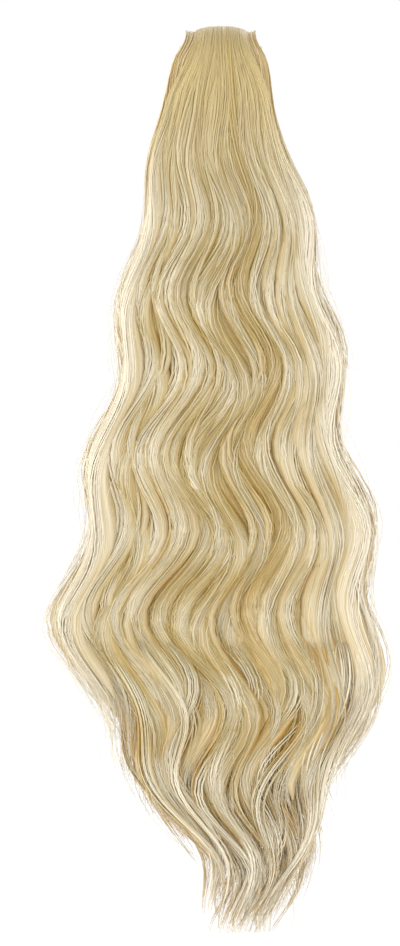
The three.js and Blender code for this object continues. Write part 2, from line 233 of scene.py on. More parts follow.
# %% Layers and their tips
LAYERS = {
    "outer": {
        "bed": (23.9, 32.6, 25.6), "cover": (28.0, 46.6, 32.6), "sewn": 32.0, "fanned": 0.09,
        "share": 0.95, "turns": True, "extra_root": 0.0, "thin_edge": 0.5, "lag": 0.0, "parts": 0.62,
        "arch": 3.0, "crown_lift": 0.88,
        "tips": [(0.13, 0.80, 0.02), (0.15, 0.87, 0.06), (0.12, 0.91, -0.05), (0.17, 0.95, 0.06),
                 (0.13, 0.93, -0.06), (0.16, 0.90, 0.03), (0.14, 0.82, -0.06)],
    },
    "middle": {
        "bed": (16.3, 18.3, 18.3), "cover": (23.6, 32.3, 25.3), "sewn": 45.5, "fanned": 0.04,
        "share": 1.0, "turns": True, "extra_root": 0.0, "thin_edge": 0.1, "lag": 0.03, "parts": 0.66,
        "arch": -2.0, "crown_lift": 1.0,
        "tips": [(0.16, 0.83, 0.03), (0.20, 0.92, -0.05), (0.18, 0.98, -0.06), (0.17, 0.99, 0.09),
                 (0.15, 0.98, 0.12), (0.14, 0.86, -0.05)],
    },
    "under": {
        "bed": (-8.0, 18.0, 18.0), "cover": (-8.0, 4.0, 11.0), "sewn": 42.0, "fanned": 0.25,
        "share": 0.96, "turns": False, "extra_root": 12.0, "thin_edge": 0.5, "lag": -0.05, "parts": 0.68,
        "arch": 0.0, "crown_lift": 0.8,
        "tips": [(0.18, 0.86, 0.07), (0.16, 0.96, -0.05), (0.17, 1.00, 0.06), (0.15, 0.99, 0.14),
                 (0.19, 0.96, 0.06), (0.15, 0.87, -0.08)],
    },
}


def nearest_tip(layer, place):
    """The heart, reach and curl of the solid's lock that a place belongs to."""
    tips = np.array(layer["tips"])
    edges = np.concatenate([[0], np.cumsum(tips[:, 0])]) / tips[:, 0].sum() * 2 - 1
    k = int(np.clip(np.searchsorted(edges, place) - 1, 0, len(tips) - 1))
    return (edges[k] + edges[k + 1]) / 2, tips[k, 1], tips[k, 2]


for name, layer in LAYERS.items():
    print(name, "layer has", len(layer["tips"]), "locks")

# %% [markdown]
# ## Planning the locks
#
# Within a layer the fibres stick together in locks of very different width, and that is what the eye
# reads as hair. Each layer gets rows of locks: broad ones at the back, the visible ones in front of
# them, and a few narrow ribbons that lie on top and cross their neighbours. A lock keeps its own small
# delay, swing and drift, all drawn from a seeded source, so every run lays the same hair.

# %% Rows of locks
ROWS = {
    "outer": [
        {"count": 11, "lift": 0.36, "thick": 0.55, "spread": 1.60, "strands": 12, "stray": 0.5},
        {"count": 15, "lift": 0.68, "thick": 0.72, "spread": 1.20, "strands": 48, "stray": 0.8},
        {"count": 14, "lift": 0.95, "thick": 0.26, "spread": 0.50, "strands": 13, "stray": 1.7},
    ],
    "middle": [
        {"count": 12, "lift": 0.30, "thick": 0.60, "spread": 1.50, "strands": 8, "stray": 0.6},
        {"count": 14, "lift": 0.72, "thick": 0.55, "spread": 1.35, "strands": 22, "stray": 1.1},
    ],
    "under": [
        {"count": 10, "lift": 0.35, "thick": 0.60, "spread": 1.50, "strands": 8, "stray": 0.5},
        {"count": 14, "lift": 0.72, "thick": 0.55, "spread": 1.35, "strands": 26, "stray": 0.8},
        {"count": 8, "lift": 0.97, "thick": 0.20, "spread": 0.42, "strands": 9, "stray": 1.6},
    ],
}
LOCK_DRAWS = {
    # how a lock differs from its row: even between two numbers, or a bell around the first
    "home": ("even", -0.25, 0.25),
    "half": ("even", 0.75, 1.25),
    "curl": ("bell", 0, 0.03),
    "gather": ("even", 0.1, 0.55),
    "reach": ("even", 0.95, 1.03),
    "lift": ("even", -0.12, 0.06),
    "thick": ("even", 0.85, 1.15),
    "delay": ("bell", 0, 0.22),
    "swing": ("even", 0.85, 1.15),
    "drift": ("even", 0.015, 0.035),
    "drift_turn": ("even", 0, 2 * math.pi),
    "sweep": ("bell", 0, 0.04),
    "lean": ("bell", 0, 3.2),
    "stagger": ("bell", 0, 0.32),
    "spin": ("even", -0.5, 0.5),
    "spin_turn": ("even", 0, 2 * math.pi),
    "tone": ("bell", 0.5, 0.13),
}
STRAYING = ("delay", "drift", "sweep", "stagger")
SLOW_DELAY = 0.3
SLOW_DELAY_TURNS = 3
OUTERMOST = 0.98
PLAN_SEED = 11
CUT_BEGIN = 0.79
CUT_HALF = 0.9
CUT_SLOPE = 2.6
CUT_MIDDLE = 0.07
CURL_SHIFT = 1.8


def cut_level(place, curl):
    """How far down hair may reach that ends at a place, because the tail is cut to a point."""
    aside = np.abs(place + CURL_SHIFT * curl - CUT_MIDDLE)
    return np.minimum(CUT_BEGIN + (CUT_HALF - aside) / CUT_SLOPE, 1.0)


def plan_locks(layer, rows, seed):
    """One table of columns, with a row for each lock."""
    random = np.random.default_rng(seed)
    draw = {"even": random.uniform, "bell": random.normal}
    locks = []
    for rank, row in enumerate(rows):
        step = 2 / row["count"]
        for i in range(row["count"]):
            lock = {key: draw[kind](a, b) for key, (kind, a, b) in LOCK_DRAWS.items()}
            lock |= {key: lock[key] * row["stray"] for key in STRAYING}
            half = step / 2 * row["spread"] * lock["half"]
            home = float(np.clip(-1 + step * (i + 0.5 + lock["home"]), half - OUTERMOST, OUTERMOST - half))
            heart, reach, curl = nearest_tip(layer, home)
            curl = curl + lock["curl"]
            cut = float(cut_level(home + (heart - home) * lock["gather"], curl))
            locks.append(lock | {
                "home": home,
                "half": half,
                "heart": heart,
                "curl": curl,
                "reach": min(reach * lock["reach"], cut),
                "lift": row["lift"] + lock["lift"],
                "thick": row["thick"] * lock["thick"],
                "delay": SLOW_DELAY * math.sin(SLOW_DELAY_TURNS * home + seed) + lock["delay"],
                "strands": row["strands"],
                "rank": rank,
            })
    return {key: np.array([lock[key] for lock in locks]) for key in locks[0]}


plans = {
    name: plan_locks(LAYERS[name], rows, seed)
    for seed, (name, rows) in enumerate(ROWS.items(), PLAN_SEED)
}
for name, plan in plans.items():
    print(name, len(plan["home"]), "locks,", int(plan["strands"].sum()), "strands")

# %% [markdown]
# ## Where a fibre runs
#
# Every fibre has a fixed seat in the round section of its lock. Walking down the lock, the section
# swings with the waves, bulges forward where the wave turns back, slowly spins, and closes at the tip.
# One table says between which levels each of these comes in. Working out all fibres of a layer at
# once, as one block of numbers, keeps this quick.

# %% Paths of fibres
TURN_STEPS = 10
COMES_IN = {
    # the levels between which an effect grows from nothing to full
    "drift": (0.08, 0.5),
    "delay": (0.08, 0.35),
    "stagger": (0.55, 0.9),
    "sweep": (0.66, 1.05),
    "tail_turn": (0.85, 1.02),
    "parting": (0.05, 0.26),
    "arch_end": (0.0, 0.09),
    "root_end": (0.0, 0.2),
    "lean": (0.45, 1.0),
    "frizz": (0.1, 0.6),
    "pale_end": (0.75, 1.0),
}
PAST_TIP = 1.15
BULGE = 0.45
THIN_EDGE_POWER = 3.0
GATHER_POWER = 2.2
CLOSE_POWER = 4.0
LIFT_AT_TIP = 0.6
DRIFT_TURNS = 1.3
TAIL_TURN = 0.16
SPIN_IN_WAVES = 0.45
SPIN_WAY_DOWN = 1.2
CROWN_THICK = 0.22
CROWN_SPREAD = 1.7
CROWN_SIDE = 0.94
BEHIND_LIFT = 0.42
BEHIND_THICK = 0.8
ARCH_POWER = 3
FRIZZ_AT_CROWN = 0.25
FRIZZ_PAST_TIP = 0.9
# Weights of the painted shade: a base amount, less where a fibre faces out, more on a lock's sides, on
# wave slants and on low rows.
INNER = {"rest": 0.42, "back": 0.45, "side": 0.3, "slope": 0.3, "low": 0.3, "high_lift": 0.75}
# Painted glow at the layer's side edges and at the tips, for light shining through thin hair; deep painted
# shade dims it, and it lifts that shade.
EDGE_PALE = 0.7
EDGE_PLACES = (0.68, 0.98)
END_PALE = 0.85
PALE_LOST = 0.65
PALE_DEPTHS = (0.2, 0.8)
PALE_CLEARS = 0.5
JAW_ROOM = 16.6


def grown(effect, level):
    """How far an effect has come in at each level, from 0 to 1."""
    return smoothly(level, *COMES_IN[effect])


def hang(layer, reach, steps, begin=None):
    """Turn and height of each station, for fibres that reach a share of the hair's length."""
    reach = np.atleast_1d(reach)[:, None]
    if begin is None and layer["turns"]:
        first = np.linspace(0, FULL_TURN, TURN_STEPS + 1)[:-1]
        start = CROWN_FOOT
    else:
        first = np.empty(0)
        start = layer["bed"][0] if begin is None else CROWN_TOP - HAIR_LENGTH * begin
    share = np.linspace(0, 1, steps)
    height = between(start, CROWN_TOP - HAIR_LENGTH * reach, share[None])
    turn = np.concatenate([first, np.full(steps, FULL_TURN)])
    turn = np.broadcast_to(turn, (len(reach), len(turn)))
    above = np.broadcast_to(np.full(len(first), CROWN_FOOT), (len(reach), len(first)))
    return turn, np.concatenate([above, height], axis=1)


def lay_fibres(layer, lock, across, outward, turn, height, tip_width, frizz=None, sunk=0.0):
    """Points of fibres in millimetres, and what their material needs at each point. lock holds one
    value of each column for each fibre. across and outward are its seat in the section, from -1 to 1."""
    column = {key: value[:, None] for key, value in lock.items()}
    bed_y, bed_z = sheet_point(layer["bed"], turn, height)
    cover_y, cover_z = sheet_point(layer["cover"], turn, height)
    level = (CROWN_TOP - bed_z) / HAIR_LENGTH
    ending = np.clip((level - layer["parts"]) / (column["reach"] - layer["parts"]), 0, PAST_TIP)
    ended = np.clip(ending, 0, 1)
    wave = fall_at("wave", level)

    slow = 2 * math.pi * DRIFT_TURNS * level + column["drift_turn"]
    place = column["home"] + column["drift"] * np.sin(slow) * grown("drift", level)
    place = place + column["sweep"] * grown("sweep", level) + TAIL_TURN * grown("tail_turn", level)
    place = between(place, column["heart"], column["gather"] * ended**GATHER_POWER)
    wave_turn = 2 * math.pi * (
        (HAIR_LENGTH * level - FIRST_WAVE) / WAVE_PITCH + layer["lag"] + TILT_OF_WAVES * place
    ) + column["delay"] * grown("delay", level) + column["stagger"] * grown("stagger", level)
    slope = np.sin(wave_turn) ** 2 * wave

    spin = column["spin"] + SPIN_IN_WAVES * np.sin(wave_turn + column["spin_turn"]) + SPIN_WAY_DOWN * level
    a = across[:, None] * np.cos(spin) - outward[:, None] * np.sin(spin)
    b = across[:, None] * np.sin(spin) + outward[:, None] * np.cos(spin)
    closing = between(1, tip_width, ended**CLOSE_POWER)
    parted = grown("parting", level)
    edge = 1 - layer["thin_edge"] * np.abs(place) ** THIN_EDGE_POWER * parted
    lift = column["lift"] * (1 - BULGE * slope) * edge * between(1, LIFT_AT_TIP, ended)
    behind = column["rank"] == 0
    lift = between(np.where(behind, BEHIND_LIFT, layer["crown_lift"] - sunk), lift, parted)
    thick = between(np.where(behind, BEHIND_THICK, CROWN_THICK), column["thick"], parted)
    lift = lift + b * thick / 2 * closing
    seat = place + a * column["half"] * closing * between(CROWN_SPREAD, 1, parted)
    seat = between(np.clip(seat, -CROWN_SIDE, CROWN_SIDE), seat, parted)

    y = between(bed_y, cover_y, lift)
    z = between(bed_z, cover_z, lift)
    z = z - layer["arch"] * np.abs(np.clip(seat, -1, 1)) ** ARCH_POWER * (1 - grown("arch_end", level))
    root = layer["extra_root"] * (1 - grown("root_end", level))
    y = y + lift * root + column["lean"] * grown("lean", level)
    drop = (CROWN_TOP - z) / HAIR_LENGTH
    left, right = fall_at("left", drop), fall_at("right", drop)
    fanned = smoothly(drop, 0, layer["fanned"])
    half = between(layer["sewn"] / 2, (left + right) / 2 * HALF_WIDTH * layer["share"], fanned)
    centre = (right - left) / 2 * HALF_WIDTH * fanned
    swing = wave * WAVE_HEIGHT * (1 - EDGE_CALM * place**2) * column["swing"]
    x = centre + half * seat + swing * np.cos(wave_turn)
    x = x + column["curl"] * HALF_WIDTH * ending**2
    if frizz is not None:
        loose = between(FRIZZ_AT_CROWN, 1, grown("frizz", level)) + FRIZZ_PAST_TIP * ending**2
        wander = frizz["pace"][:, None] * level + frizz["turn"][:, None]
        x = x + frizz["x"][:, None] * loose * np.sin(wander)
        y = y + frizz["y"][:, None] * loose * np.cos(wander)
    # Painted shade: darker colour on the back and sides of a lock, on the slants between wave bulges and
    # on low rows; the fronts of the bulges get the painted highlight.
    hidden = INNER["rest"] - INNER["back"] * b + INNER["side"] * a**2 + INNER["slope"] * slope
    hidden = np.clip(hidden + INNER["low"] * (INNER["high_lift"] - column["lift"]), 0, 1)
    # Painted glow: lighter colour at the side edges and the tips, for light shining through thin hair.
    pale = EDGE_PALE * smoothly(np.abs(seat), *EDGE_PLACES) * parted
    shown = 1 - PALE_LOST * smoothly(hidden, *PALE_DEPTHS)
    pale = pale + END_PALE * grown("pale_end", level) * shown
    values = {"inner": np.clip(hidden - PALE_CLEARS * pale, 0, 1), "level": level, "pale": pale}
    if not layer["turns"]:
        under_jaw = -np.sqrt(np.maximum(JAW_ROOM**2 - y**2, 0))
        z = np.where(np.abs(y) < JAW_ROOM, np.minimum(z, under_jaw), z)
    return np.stack([x, y, z], axis=-1), values


print("waves bulge", round(BULGE * (LAYERS["outer"]["cover"][1] - LAYERS["outer"]["bed"][1]), 1), "mm")

# %% [markdown]
# ## Meshes from paths
#
# A strand is a thin tube, and three sides are enough, because smooth shading rounds them. The
# tubes are closed at both ends, so the mesh has an inside and an outside like the real thing. Each
# point also carries what its material needs to know: the strand's own tone, how far down it lies, how
# much painted shade it gets for lying deep in its lock, how much painted glow it gets at thin edges
# and tips, and where it is around the strand.

# %% Tubes
SIDES = 3


def tube_mesh(name, paths, radius, point_values, sides=SIDES, sideways=(1.0, 0.0, 0.0)):
    """Closed tubes along paths (fibre, station, xyz) in millimetres, as one object. sideways is any
    direction that no path follows."""
    count, steps, _ = paths.shape
    along = np.gradient(paths, axis=1)
    along /= np.linalg.norm(along, axis=2, keepdims=True)
    side = np.array(sideways) - (along @ np.array(sideways))[..., None] * along
    side /= np.linalg.norm(side, axis=2, keepdims=True)
    up = np.cross(along, side)
    angle = 2 * math.pi * np.arange(sides) / sides - math.pi / 2
    ring = side[:, :, None] * np.cos(angle)[:, None] + up[:, :, None] * np.sin(angle)[:, None]
    points = paths[:, :, None] + radius[:, :, None, None] * ring
    around = np.broadcast_to(np.arange(sides) / sides, (count, steps, sides))
    values = {
        key: np.broadcast_to(value[:, :, None], (count, steps, sides))
        for key, value in point_values.items()
    }
    values["around"] = around
    return ring_mesh(name, points, values)


def ring_mesh(name, points, values):
    """Rings of points (piece, station, ring place, xyz) joined into closed skins, as one object."""
    count, steps, sides, _ = points.shape
    index = np.arange(count * steps * sides).reshape(count, steps, sides)
    upper, lower = index[:, :-1], index[:, 1:]
    quads = np.stack([upper, np.roll(upper, -1, 2), np.roll(lower, -1, 2), lower], axis=-1).reshape(-1, 4)
    caps = np.concatenate([index[:, 0, ::-1], index[:, -1]])
    mesh = bpy.data.meshes.new(name)
    corners = np.concatenate([quads.ravel(), caps.ravel()]).astype(np.int32)
    starts = np.concatenate([4 * np.arange(len(quads)), 4 * len(quads) + sides * np.arange(len(caps))])
    mesh.vertices.add(index.size)
    mesh.vertices.foreach_set("co", (points * MM).astype(np.float32).ravel())
    mesh.loops.add(len(corners))
    mesh.loops.foreach_set("vertex_index", corners)
    mesh.polygons.add(len(starts))
    mesh.polygons.foreach_set("loop_start", starts.astype(np.int32))
    mesh.update(calc_edges=True)
    mesh.shade_smooth()
    for key, value in values.items():
        carried = mesh.attributes.new(key, "FLOAT", "POINT")
        carried.data.foreach_set("value", value.astype(np.float32).ravel())
    piece = bpy.data.objects.new(name, mesh)
    bpy.context.scene.collection.objects.link(piece)
    triangles = len(quads) * 2 + len(caps) * (sides - 2)
    print(name, count, "skins,", triangles, "triangles")
    return piece


def finish_piece(piece, material):
    """Give a piece its material and its slot, and let it ride with the rest."""
    piece.data.materials.append(material)
    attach(piece, "root")


# %% [markdown]
# ## Shared effects for the fibres
#
# All the hair is one dye lot, but no two fibres match. Two node groups are used by every hair
# material. The first draws fine streaks along a strand, which stand for single hairs. The second
# turns depth, level and tone into colour: a painted highlight of pale cream on the crest of a lock,
# painted shade of honey between the locks, a painted glow at thin edges and tips, painted shade in the
# gaps between the streaks, and more gold close to the sewn edge, where fibre is densest.

# %% Node helpers
def node_group(name, inputs, outputs):
    """An empty shader group with named sockets, and its two end nodes."""
    group = bpy.data.node_groups.new(name, "ShaderNodeTree")
    for label, kind, value in inputs:
        group.interface.new_socket(label, in_out="INPUT", socket_type=kind).default_value = value
    for label, kind in outputs:
        group.interface.new_socket(label, in_out="OUTPUT", socket_type=kind)
    return group, group.nodes.new("NodeGroupInput"), group.nodes.new("NodeGroupOutput")


def math_node(tree, operation, first, second, clamp=False):
    """A Math node. Numbers are set on it, and sockets are linked to it."""
    node = tree.nodes.new("ShaderNodeMath")
    node.operation = operation
    node.use_clamp = clamp
    for socket, value in zip(node.inputs, (first, second)):
        if isinstance(value, (int, float)):
            socket.default_value = value
        else:
            tree.links.new(value, socket)
    return node.outputs["Value"]


def range_node(tree, value, low, high, to_low=0.0, to_high=1.0):
    """A smooth map of a value from one range to another."""
    node = tree.nodes.new("ShaderNodeMapRange")
    node.interpolation_type = "SMOOTHSTEP"
    node.inputs["From Min"].default_value = low
    node.inputs["From Max"].default_value = high
    node.inputs["To Min"].default_value = to_low
    node.inputs["To Max"].default_value = to_high
    tree.links.new(value, node.inputs["Value"])
    return node.outputs["Result"]


def colour_mix(tree, factor, first, second, blend="MIX"):
    """A Mix node for colours."""
    node = tree.nodes.new("ShaderNodeMix")
    node.data_type = "RGBA"
    node.blend_type = blend
    sockets = [node.inputs[label] for label in ("Factor", "A", "B")]
    for socket, value in zip(sockets, (factor, first, second)):
        if isinstance(value, (int, float, tuple)):
            socket.default_value = value
        else:
            tree.links.new(value, socket)
    return node.outputs["Result"]


def bumped(tree, shader, height, strength, depth):
    """Link a height to a shader's normal. depth is in millimetres."""
    relief = tree.nodes.new("ShaderNodeBump")
    relief.inputs["Strength"].default_value = strength
    relief.inputs["Distance"].default_value = depth * MM
    tree.links.new(height, relief.inputs["Height"])
    tree.links.new(relief.outputs["Normal"], shader.inputs["Normal"])


def point_value(tree, name):
    """A value that the mesh carries at its points."""
    node = tree.nodes.new("ShaderNodeAttribute")
    node.attribute_name = name
    return node.outputs["Fac"]


def dye(red, green, blue):
    """A colour named by its screen values, as the shader wants it."""
    return tuple((v / 255) ** 2.2 for v in (red, green, blue)) + (1.0,)


# %% Streaks along a strand
NUMBER = "NodeSocketFloat"
COLOUR = "NodeSocketColor"
PLACE = "NodeSocketVector"
TONE_STEP = 37.0
STREAK_RANGE = (0.3, 0.7)
streaks, given, result = node_group(
    "fibre_streaks",
    [("Around", NUMBER, 0), ("Along", NUMBER, 0), ("Tone", NUMBER, 0.5), ("Fineness", NUMBER, 6),
     ("Length", NUMBER, 9)],
    [("Streak", NUMBER), ("Height", NUMBER)],
)
seat = streaks.nodes.new("ShaderNodeCombineXYZ")
for place, size, axis in (("Around", "Fineness", "X"), ("Along", "Length", "Y"), ("Tone", TONE_STEP, "Z")):
    scale = given.outputs[size] if isinstance(size, str) else size
    streaks.links.new(math_node(streaks, "MULTIPLY", given.outputs[place], scale), seat.inputs[axis])
hairs = streaks.nodes.new("ShaderNodeTexNoise")
hairs.inputs["Scale"].default_value = 1.0
hairs.inputs["Detail"].default_value = 2.0
streaks.links.new(seat.outputs["Vector"], hairs.inputs["Vector"])
streaks.links.new(range_node(streaks, hairs.outputs["Fac"], *STREAK_RANGE), result.inputs["Streak"])
streaks.links.new(hairs.outputs["Fac"], result.inputs["Height"])
print("streaks are drawn from", len(streaks.nodes), "nodes")

# %% Colour of a fibre by its place
LIGHT_FIBRE = dye(236, 227, 206)
DARK_FIBRE = dye(182, 153, 90)
STREAK_SHADOW = dye(206, 186, 144)
SHADE_RANGES = {
    # what is read: where its effect begins and ends, and how strong it is there
    "crest_to_body": ("Inner", 0.0, 0.42),
    "body_to_valley": ("Inner", 0.42, 0.9),
    "light_tone": ("Tone", 0.45, 0.9, 0.0, 0.45),
    "dark_tone": ("Tone", 0.5, 0.1, 0.0, 0.5),
    "crown": ("Level", 0.04, 0.24, 0.75, 0.0),
    "roughness": ("Streak", 0.0, 1.0, 0.52, 0.38),
}
shade, given, result = node_group(
    "fibre_shade",
    [("Inner", NUMBER, 0.5), ("Level", NUMBER, 0.5), ("Tone", NUMBER, 0.5), ("Pale", NUMBER, 0),
     ("Streak", NUMBER, 0.5), ("Contrast", NUMBER, 0.1), ("Crest", COLOUR, dye(222, 212, 190)),
     ("Body", COLOUR, dye(202, 182, 136)), ("Valley", COLOUR, dye(178, 142, 72)),
     ("Crown", COLOUR, dye(190, 164, 104))],
    [("Color", COLOUR), ("Roughness", NUMBER)],
)
share = {
    effect: range_node(shade, given.outputs[read], *numbers)
    for effect, (read, *numbers) in SHADE_RANGES.items()
}
# The light tone mixes random pale fibre with the painted glow at thin edges and tips.
light_tone = math_node(shade, "ADD", share["light_tone"], given.outputs["Pale"], clamp=True)
# Painted shade in the gaps between the single hairs that the streaks draw.
dark_streak = math_node(shade, "SUBTRACT", 1.0, given.outputs["Streak"])
dark_streak = math_node(shade, "MULTIPLY", dark_streak, given.outputs["Contrast"])
# Painted highlight on the crests, the body colour, then painted shade of honey in the valleys between
# locks.
whole = colour_mix(shade, share["crest_to_body"], given.outputs["Crest"], given.outputs["Body"])
whole = colour_mix(shade, share["body_to_valley"], whole, given.outputs["Valley"])
whole = colour_mix(shade, light_tone, whole, LIGHT_FIBRE)
whole = colour_mix(shade, share["dark_tone"], whole, DARK_FIBRE)
whole = colour_mix(shade, share["crown"], whole, given.outputs["Crown"])
whole = colour_mix(shade, dark_streak, whole, STREAK_SHADOW, "MULTIPLY")
shade.links.new(whole, result.inputs["Color"])
shade.links.new(share["roughness"], result.inputs["Roughness"])
print("fibre colour is mixed in", len(shade.nodes), "nodes")

# %% [markdown]
# ## Hair materials
#
# Heat-safe fibre is a little glossier than grown hair, so the shader keeps a soft sheen and a
# moderate roughness. The layers differ a little, because a maker puts the palest fibre on the
# outside. The streak group also feeds the bump, which breaks the shine into single hairs.

# %% Principled shaders for fibre
STREAK_LENGTH = 7.0
FIBRE_RELIEF = 0.3


def principled(name, **constants):
    """A material with one Principled shader, whose constant values are set on its own sockets."""
    material = bpy.data.materials.new(name)
    material.use_nodes = True
    shader = material.node_tree.nodes["Principled BSDF"]
    for socket, value in constants.items():
        shader.inputs[socket.replace("_", " ")].default_value = value
    return material, material.node_tree, shader


def place_group(tree, group, **values):
    """A group node with its own values or links."""
    node = tree.nodes.new("ShaderNodeGroup")
    node.node_tree = group
    for label, value in values.items():
        if isinstance(value, (int, float, tuple)):
            node.inputs[label].default_value = value
        else:
            tree.links.new(value, node.inputs[label])
    return node


def fibre_material(name, crest, body, valley, crown, fineness, bump, contrast):
    """Hair of one layer. fineness is how many hairs are drawn around a strand or lock, and contrast is
    how dark the painted shade in the gaps between them is."""
    material, tree, shader = principled(
        name, Specular_IOR_Level=0.42, Sheen_Weight=0.08, Sheen_Roughness=0.4
    )
    drawn = place_group(
        tree, streaks, Around=point_value(tree, "around"), Along=point_value(tree, "level"),
        Tone=point_value(tree, "tone"), Fineness=fineness, Length=STREAK_LENGTH,
    )
    coloured = place_group(
        tree, shade, Inner=point_value(tree, "inner"), Level=point_value(tree, "level"),
        Tone=point_value(tree, "tone"), Pale=point_value(tree, "pale"), Streak=drawn.outputs["Streak"],
        Contrast=contrast, Crest=crest, Body=body, Valley=valley, Crown=crown,
    )
    tree.links.new(coloured.outputs["Color"], shader.inputs["Base Color"])
    tree.links.new(coloured.outputs["Roughness"], shader.inputs["Roughness"])
    bumped(tree, shader, drawn.outputs["Height"], bump, FIBRE_RELIEF)
    return material


FIBRES = {
    # painted highlight, body, painted valley shade and crown colours of a layer
    "outer": (dye(198, 187, 157), dye(182, 162, 110), dye(182, 142, 60), dye(197, 174, 113)),
    # The middle layer's crown colour is lighter, as painted light on its shoulders, where the outer layer
    # shades them.
    "middle": (dye(198, 186, 155), dye(181, 160, 107), dye(181, 141, 58), dye(230, 208, 156)),
    "under": (dye(202, 188, 155), dye(186, 163, 106), dye(182, 140, 54), dye(180, 154, 92)),
}
strand_hair = {
    name: fibre_material(f"{name}_strand_fibre", *colours, fineness=3.0, bump=0.35, contrast=0.15)
    for name, colours in FIBRES.items()
}
lock_hair = {
    name: fibre_material(f"{name}_lock_fibre", *colours, fineness=80.0, bump=0.8, contrast=0.85)
    for name, colours in FIBRES.items()
}
print(len(strand_hair) + len(lock_hair), "hair materials")

# %% [markdown]
# ## Locks
#
# Under its loose strands, a real lock is packed so tightly that no light passes through. So each
# lock first gets a closed, ridged skin that follows the same waves a little inside the strands. It
# keeps the hair from looking see-through and lets the strands on top stay few.

# %% Lock skins
SKIN_SIDES = 16
SKIN_STEPS = 46
SKIN_INSET = 0.9
RIDGE = 0.05
SKIN_REACH = 0.96
SKIN_SIDE = 0.96
SKIN_SUNK = 0.08
# Skins get a little more painted shade than the strands over them, and less painted glow.
SKIN_DARKER = 0.04
SKIN_PALE = 0.3
SKIN_TIP = 0.04
SKIN_SEED = 31


def lock_skins(name, layer, plan, seed):
    """Closed skins of all locks of a layer."""
    random = np.random.default_rng(seed)
    count = len(plan["home"])
    angle = 2 * math.pi * np.arange(SKIN_SIDES) / SKIN_SIDES
    ridges = SKIN_INSET + RIDGE * random.uniform(-1, 1, (count, SKIN_SIDES))
    across = (ridges * np.cos(angle)).ravel()
    outward = (ridges * np.sin(angle)).ravel()
    lock = {key: np.repeat(value, SKIN_SIDES) for key, value in plan.items()}
    lock["reach"] = lock["reach"] * SKIN_REACH
    lock["home"] = lock["home"] * SKIN_SIDE
    turn, height = hang(layer, lock["reach"], SKIN_STEPS)
    points, values = lay_fibres(layer, lock, across, outward, turn, height, SKIN_TIP, sunk=SKIN_SUNK)
    steps = points.shape[1]

    def in_rings(values):
        return np.moveaxis(values.reshape(count, SKIN_SIDES, steps, *values.shape[2:]), 1, 2)

    rings = in_rings(points)
    values = {key: in_rings(value) for key, value in values.items()}
    # The skin lies under its strands: more painted shade, less painted glow.
    values["inner"] = np.clip(values["inner"] + SKIN_DARKER, 0, 1)
    values["pale"] = values["pale"] * SKIN_PALE
    values["around"] = np.broadcast_to(angle / (2 * math.pi), (count, steps, SKIN_SIDES))
    values["tone"] = np.broadcast_to(plan["tone"][:, None, None], (count, steps, SKIN_SIDES))
    if not layer["turns"]:
        rings = rings[:, :, ::-1]
        values = {key: value[:, :, ::-1] for key, value in values.items()}
    return ring_mesh(name, rings, values)


# %% [markdown]
# ## Strands
#
# What the eye follows is the strands on a lock's surface. Particle hair would draw them faster, but it
# can't be exported, so each strand is a real tube here. Its seat is drawn at random on the rim of the
# lock's section, more often in front, and half of it sinks into the skin below.

# %% Strands
STRAND_STEPS = 44
STRAND_RADIUS = 0.42
FRIZZ = 0.3
FRIZZ_PACES = (8, 30)
IN_FRONT = 0.6
STRAYS = 0.09
RIM = (0.89, 0.97)
STRAY_RIM = (1.05, 1.25)
STRAND_REACH = (0.94, 1.02)
STRAND_SIZES = (0.6, 1.3)
TONE_SPREAD = 0.06
# Painted shade for strands in the rows behind, and painted light on the ribbons on top.
RANK_INNER = np.array([0.12, 0.0, -0.08])
STRAND_TIP = 0.55
FINE_ROOT = 0.55
ROOT_LEVELS = (0.02, 0.4)
FINE_END = 0.22
FINE_END_POWER = 4
STRAND_SEED = 41
PARTS = {"outer": 2, "middle": 1, "under": 1}


def strands_of(layer, plan, seed):
    """Seats, reaches and tones for all strands of a layer."""
    random = np.random.default_rng(seed)
    owner = np.repeat(np.arange(len(plan["home"])), plan["strands"])
    total = len(owner)
    lock = {key: value[owner] for key, value in plan.items()}
    angle = random.uniform(0, 2 * math.pi, total)
    front = random.random(total) < IN_FRONT
    angle = np.where(front, np.abs(np.mod(angle, 2 * math.pi) - math.pi), angle)
    stray = random.random(total) < STRAYS
    radius = np.where(stray, random.uniform(*STRAY_RIM, total), random.uniform(*RIM, total))
    strands = {
        "across": radius * np.cos(angle),
        "outward": radius * np.sin(angle),
        "reach": np.minimum(lock["reach"] * random.uniform(*STRAND_REACH, total), 1.0),
        "tone": np.clip(lock["tone"] + random.normal(0, TONE_SPREAD, total), 0, 1),
        "radius": STRAND_RADIUS * random.uniform(*STRAND_SIZES, total),
    }
    frizz = {
        "x": FRIZZ * random.normal(0, 1, total),
        "y": FRIZZ * random.normal(0, 1, total),
        "pace": random.uniform(*FRIZZ_PACES, total),
        "turn": random.uniform(0, 2 * math.pi, total),
    }
    return lock, strands, frizz


def strand_piece(name, layer, lock, own, frizz):
    """Strands of a layer as one piece."""
    turn, height = hang(layer, own["reach"], STRAND_STEPS)
    seat = own["across"], own["outward"]
    points, values = lay_fibres(layer, lock, *seat, turn, height, STRAND_TIP, frizz)
    share = np.linspace(0, 1, points.shape[1])[None]
    root = between(FINE_ROOT, 1.0, smoothly(values["level"], *ROOT_LEVELS))
    thick = root * between(1, FINE_END, share**FINE_END_POWER)
    values["inner"] = np.clip(values["inner"] + RANK_INNER[lock["rank"]][:, None], 0, 1)
    values["tone"] = np.broadcast_to(own["tone"][:, None], values["level"].shape)
    return tube_mesh(name, points, own["radius"][:, None] * thick, values)


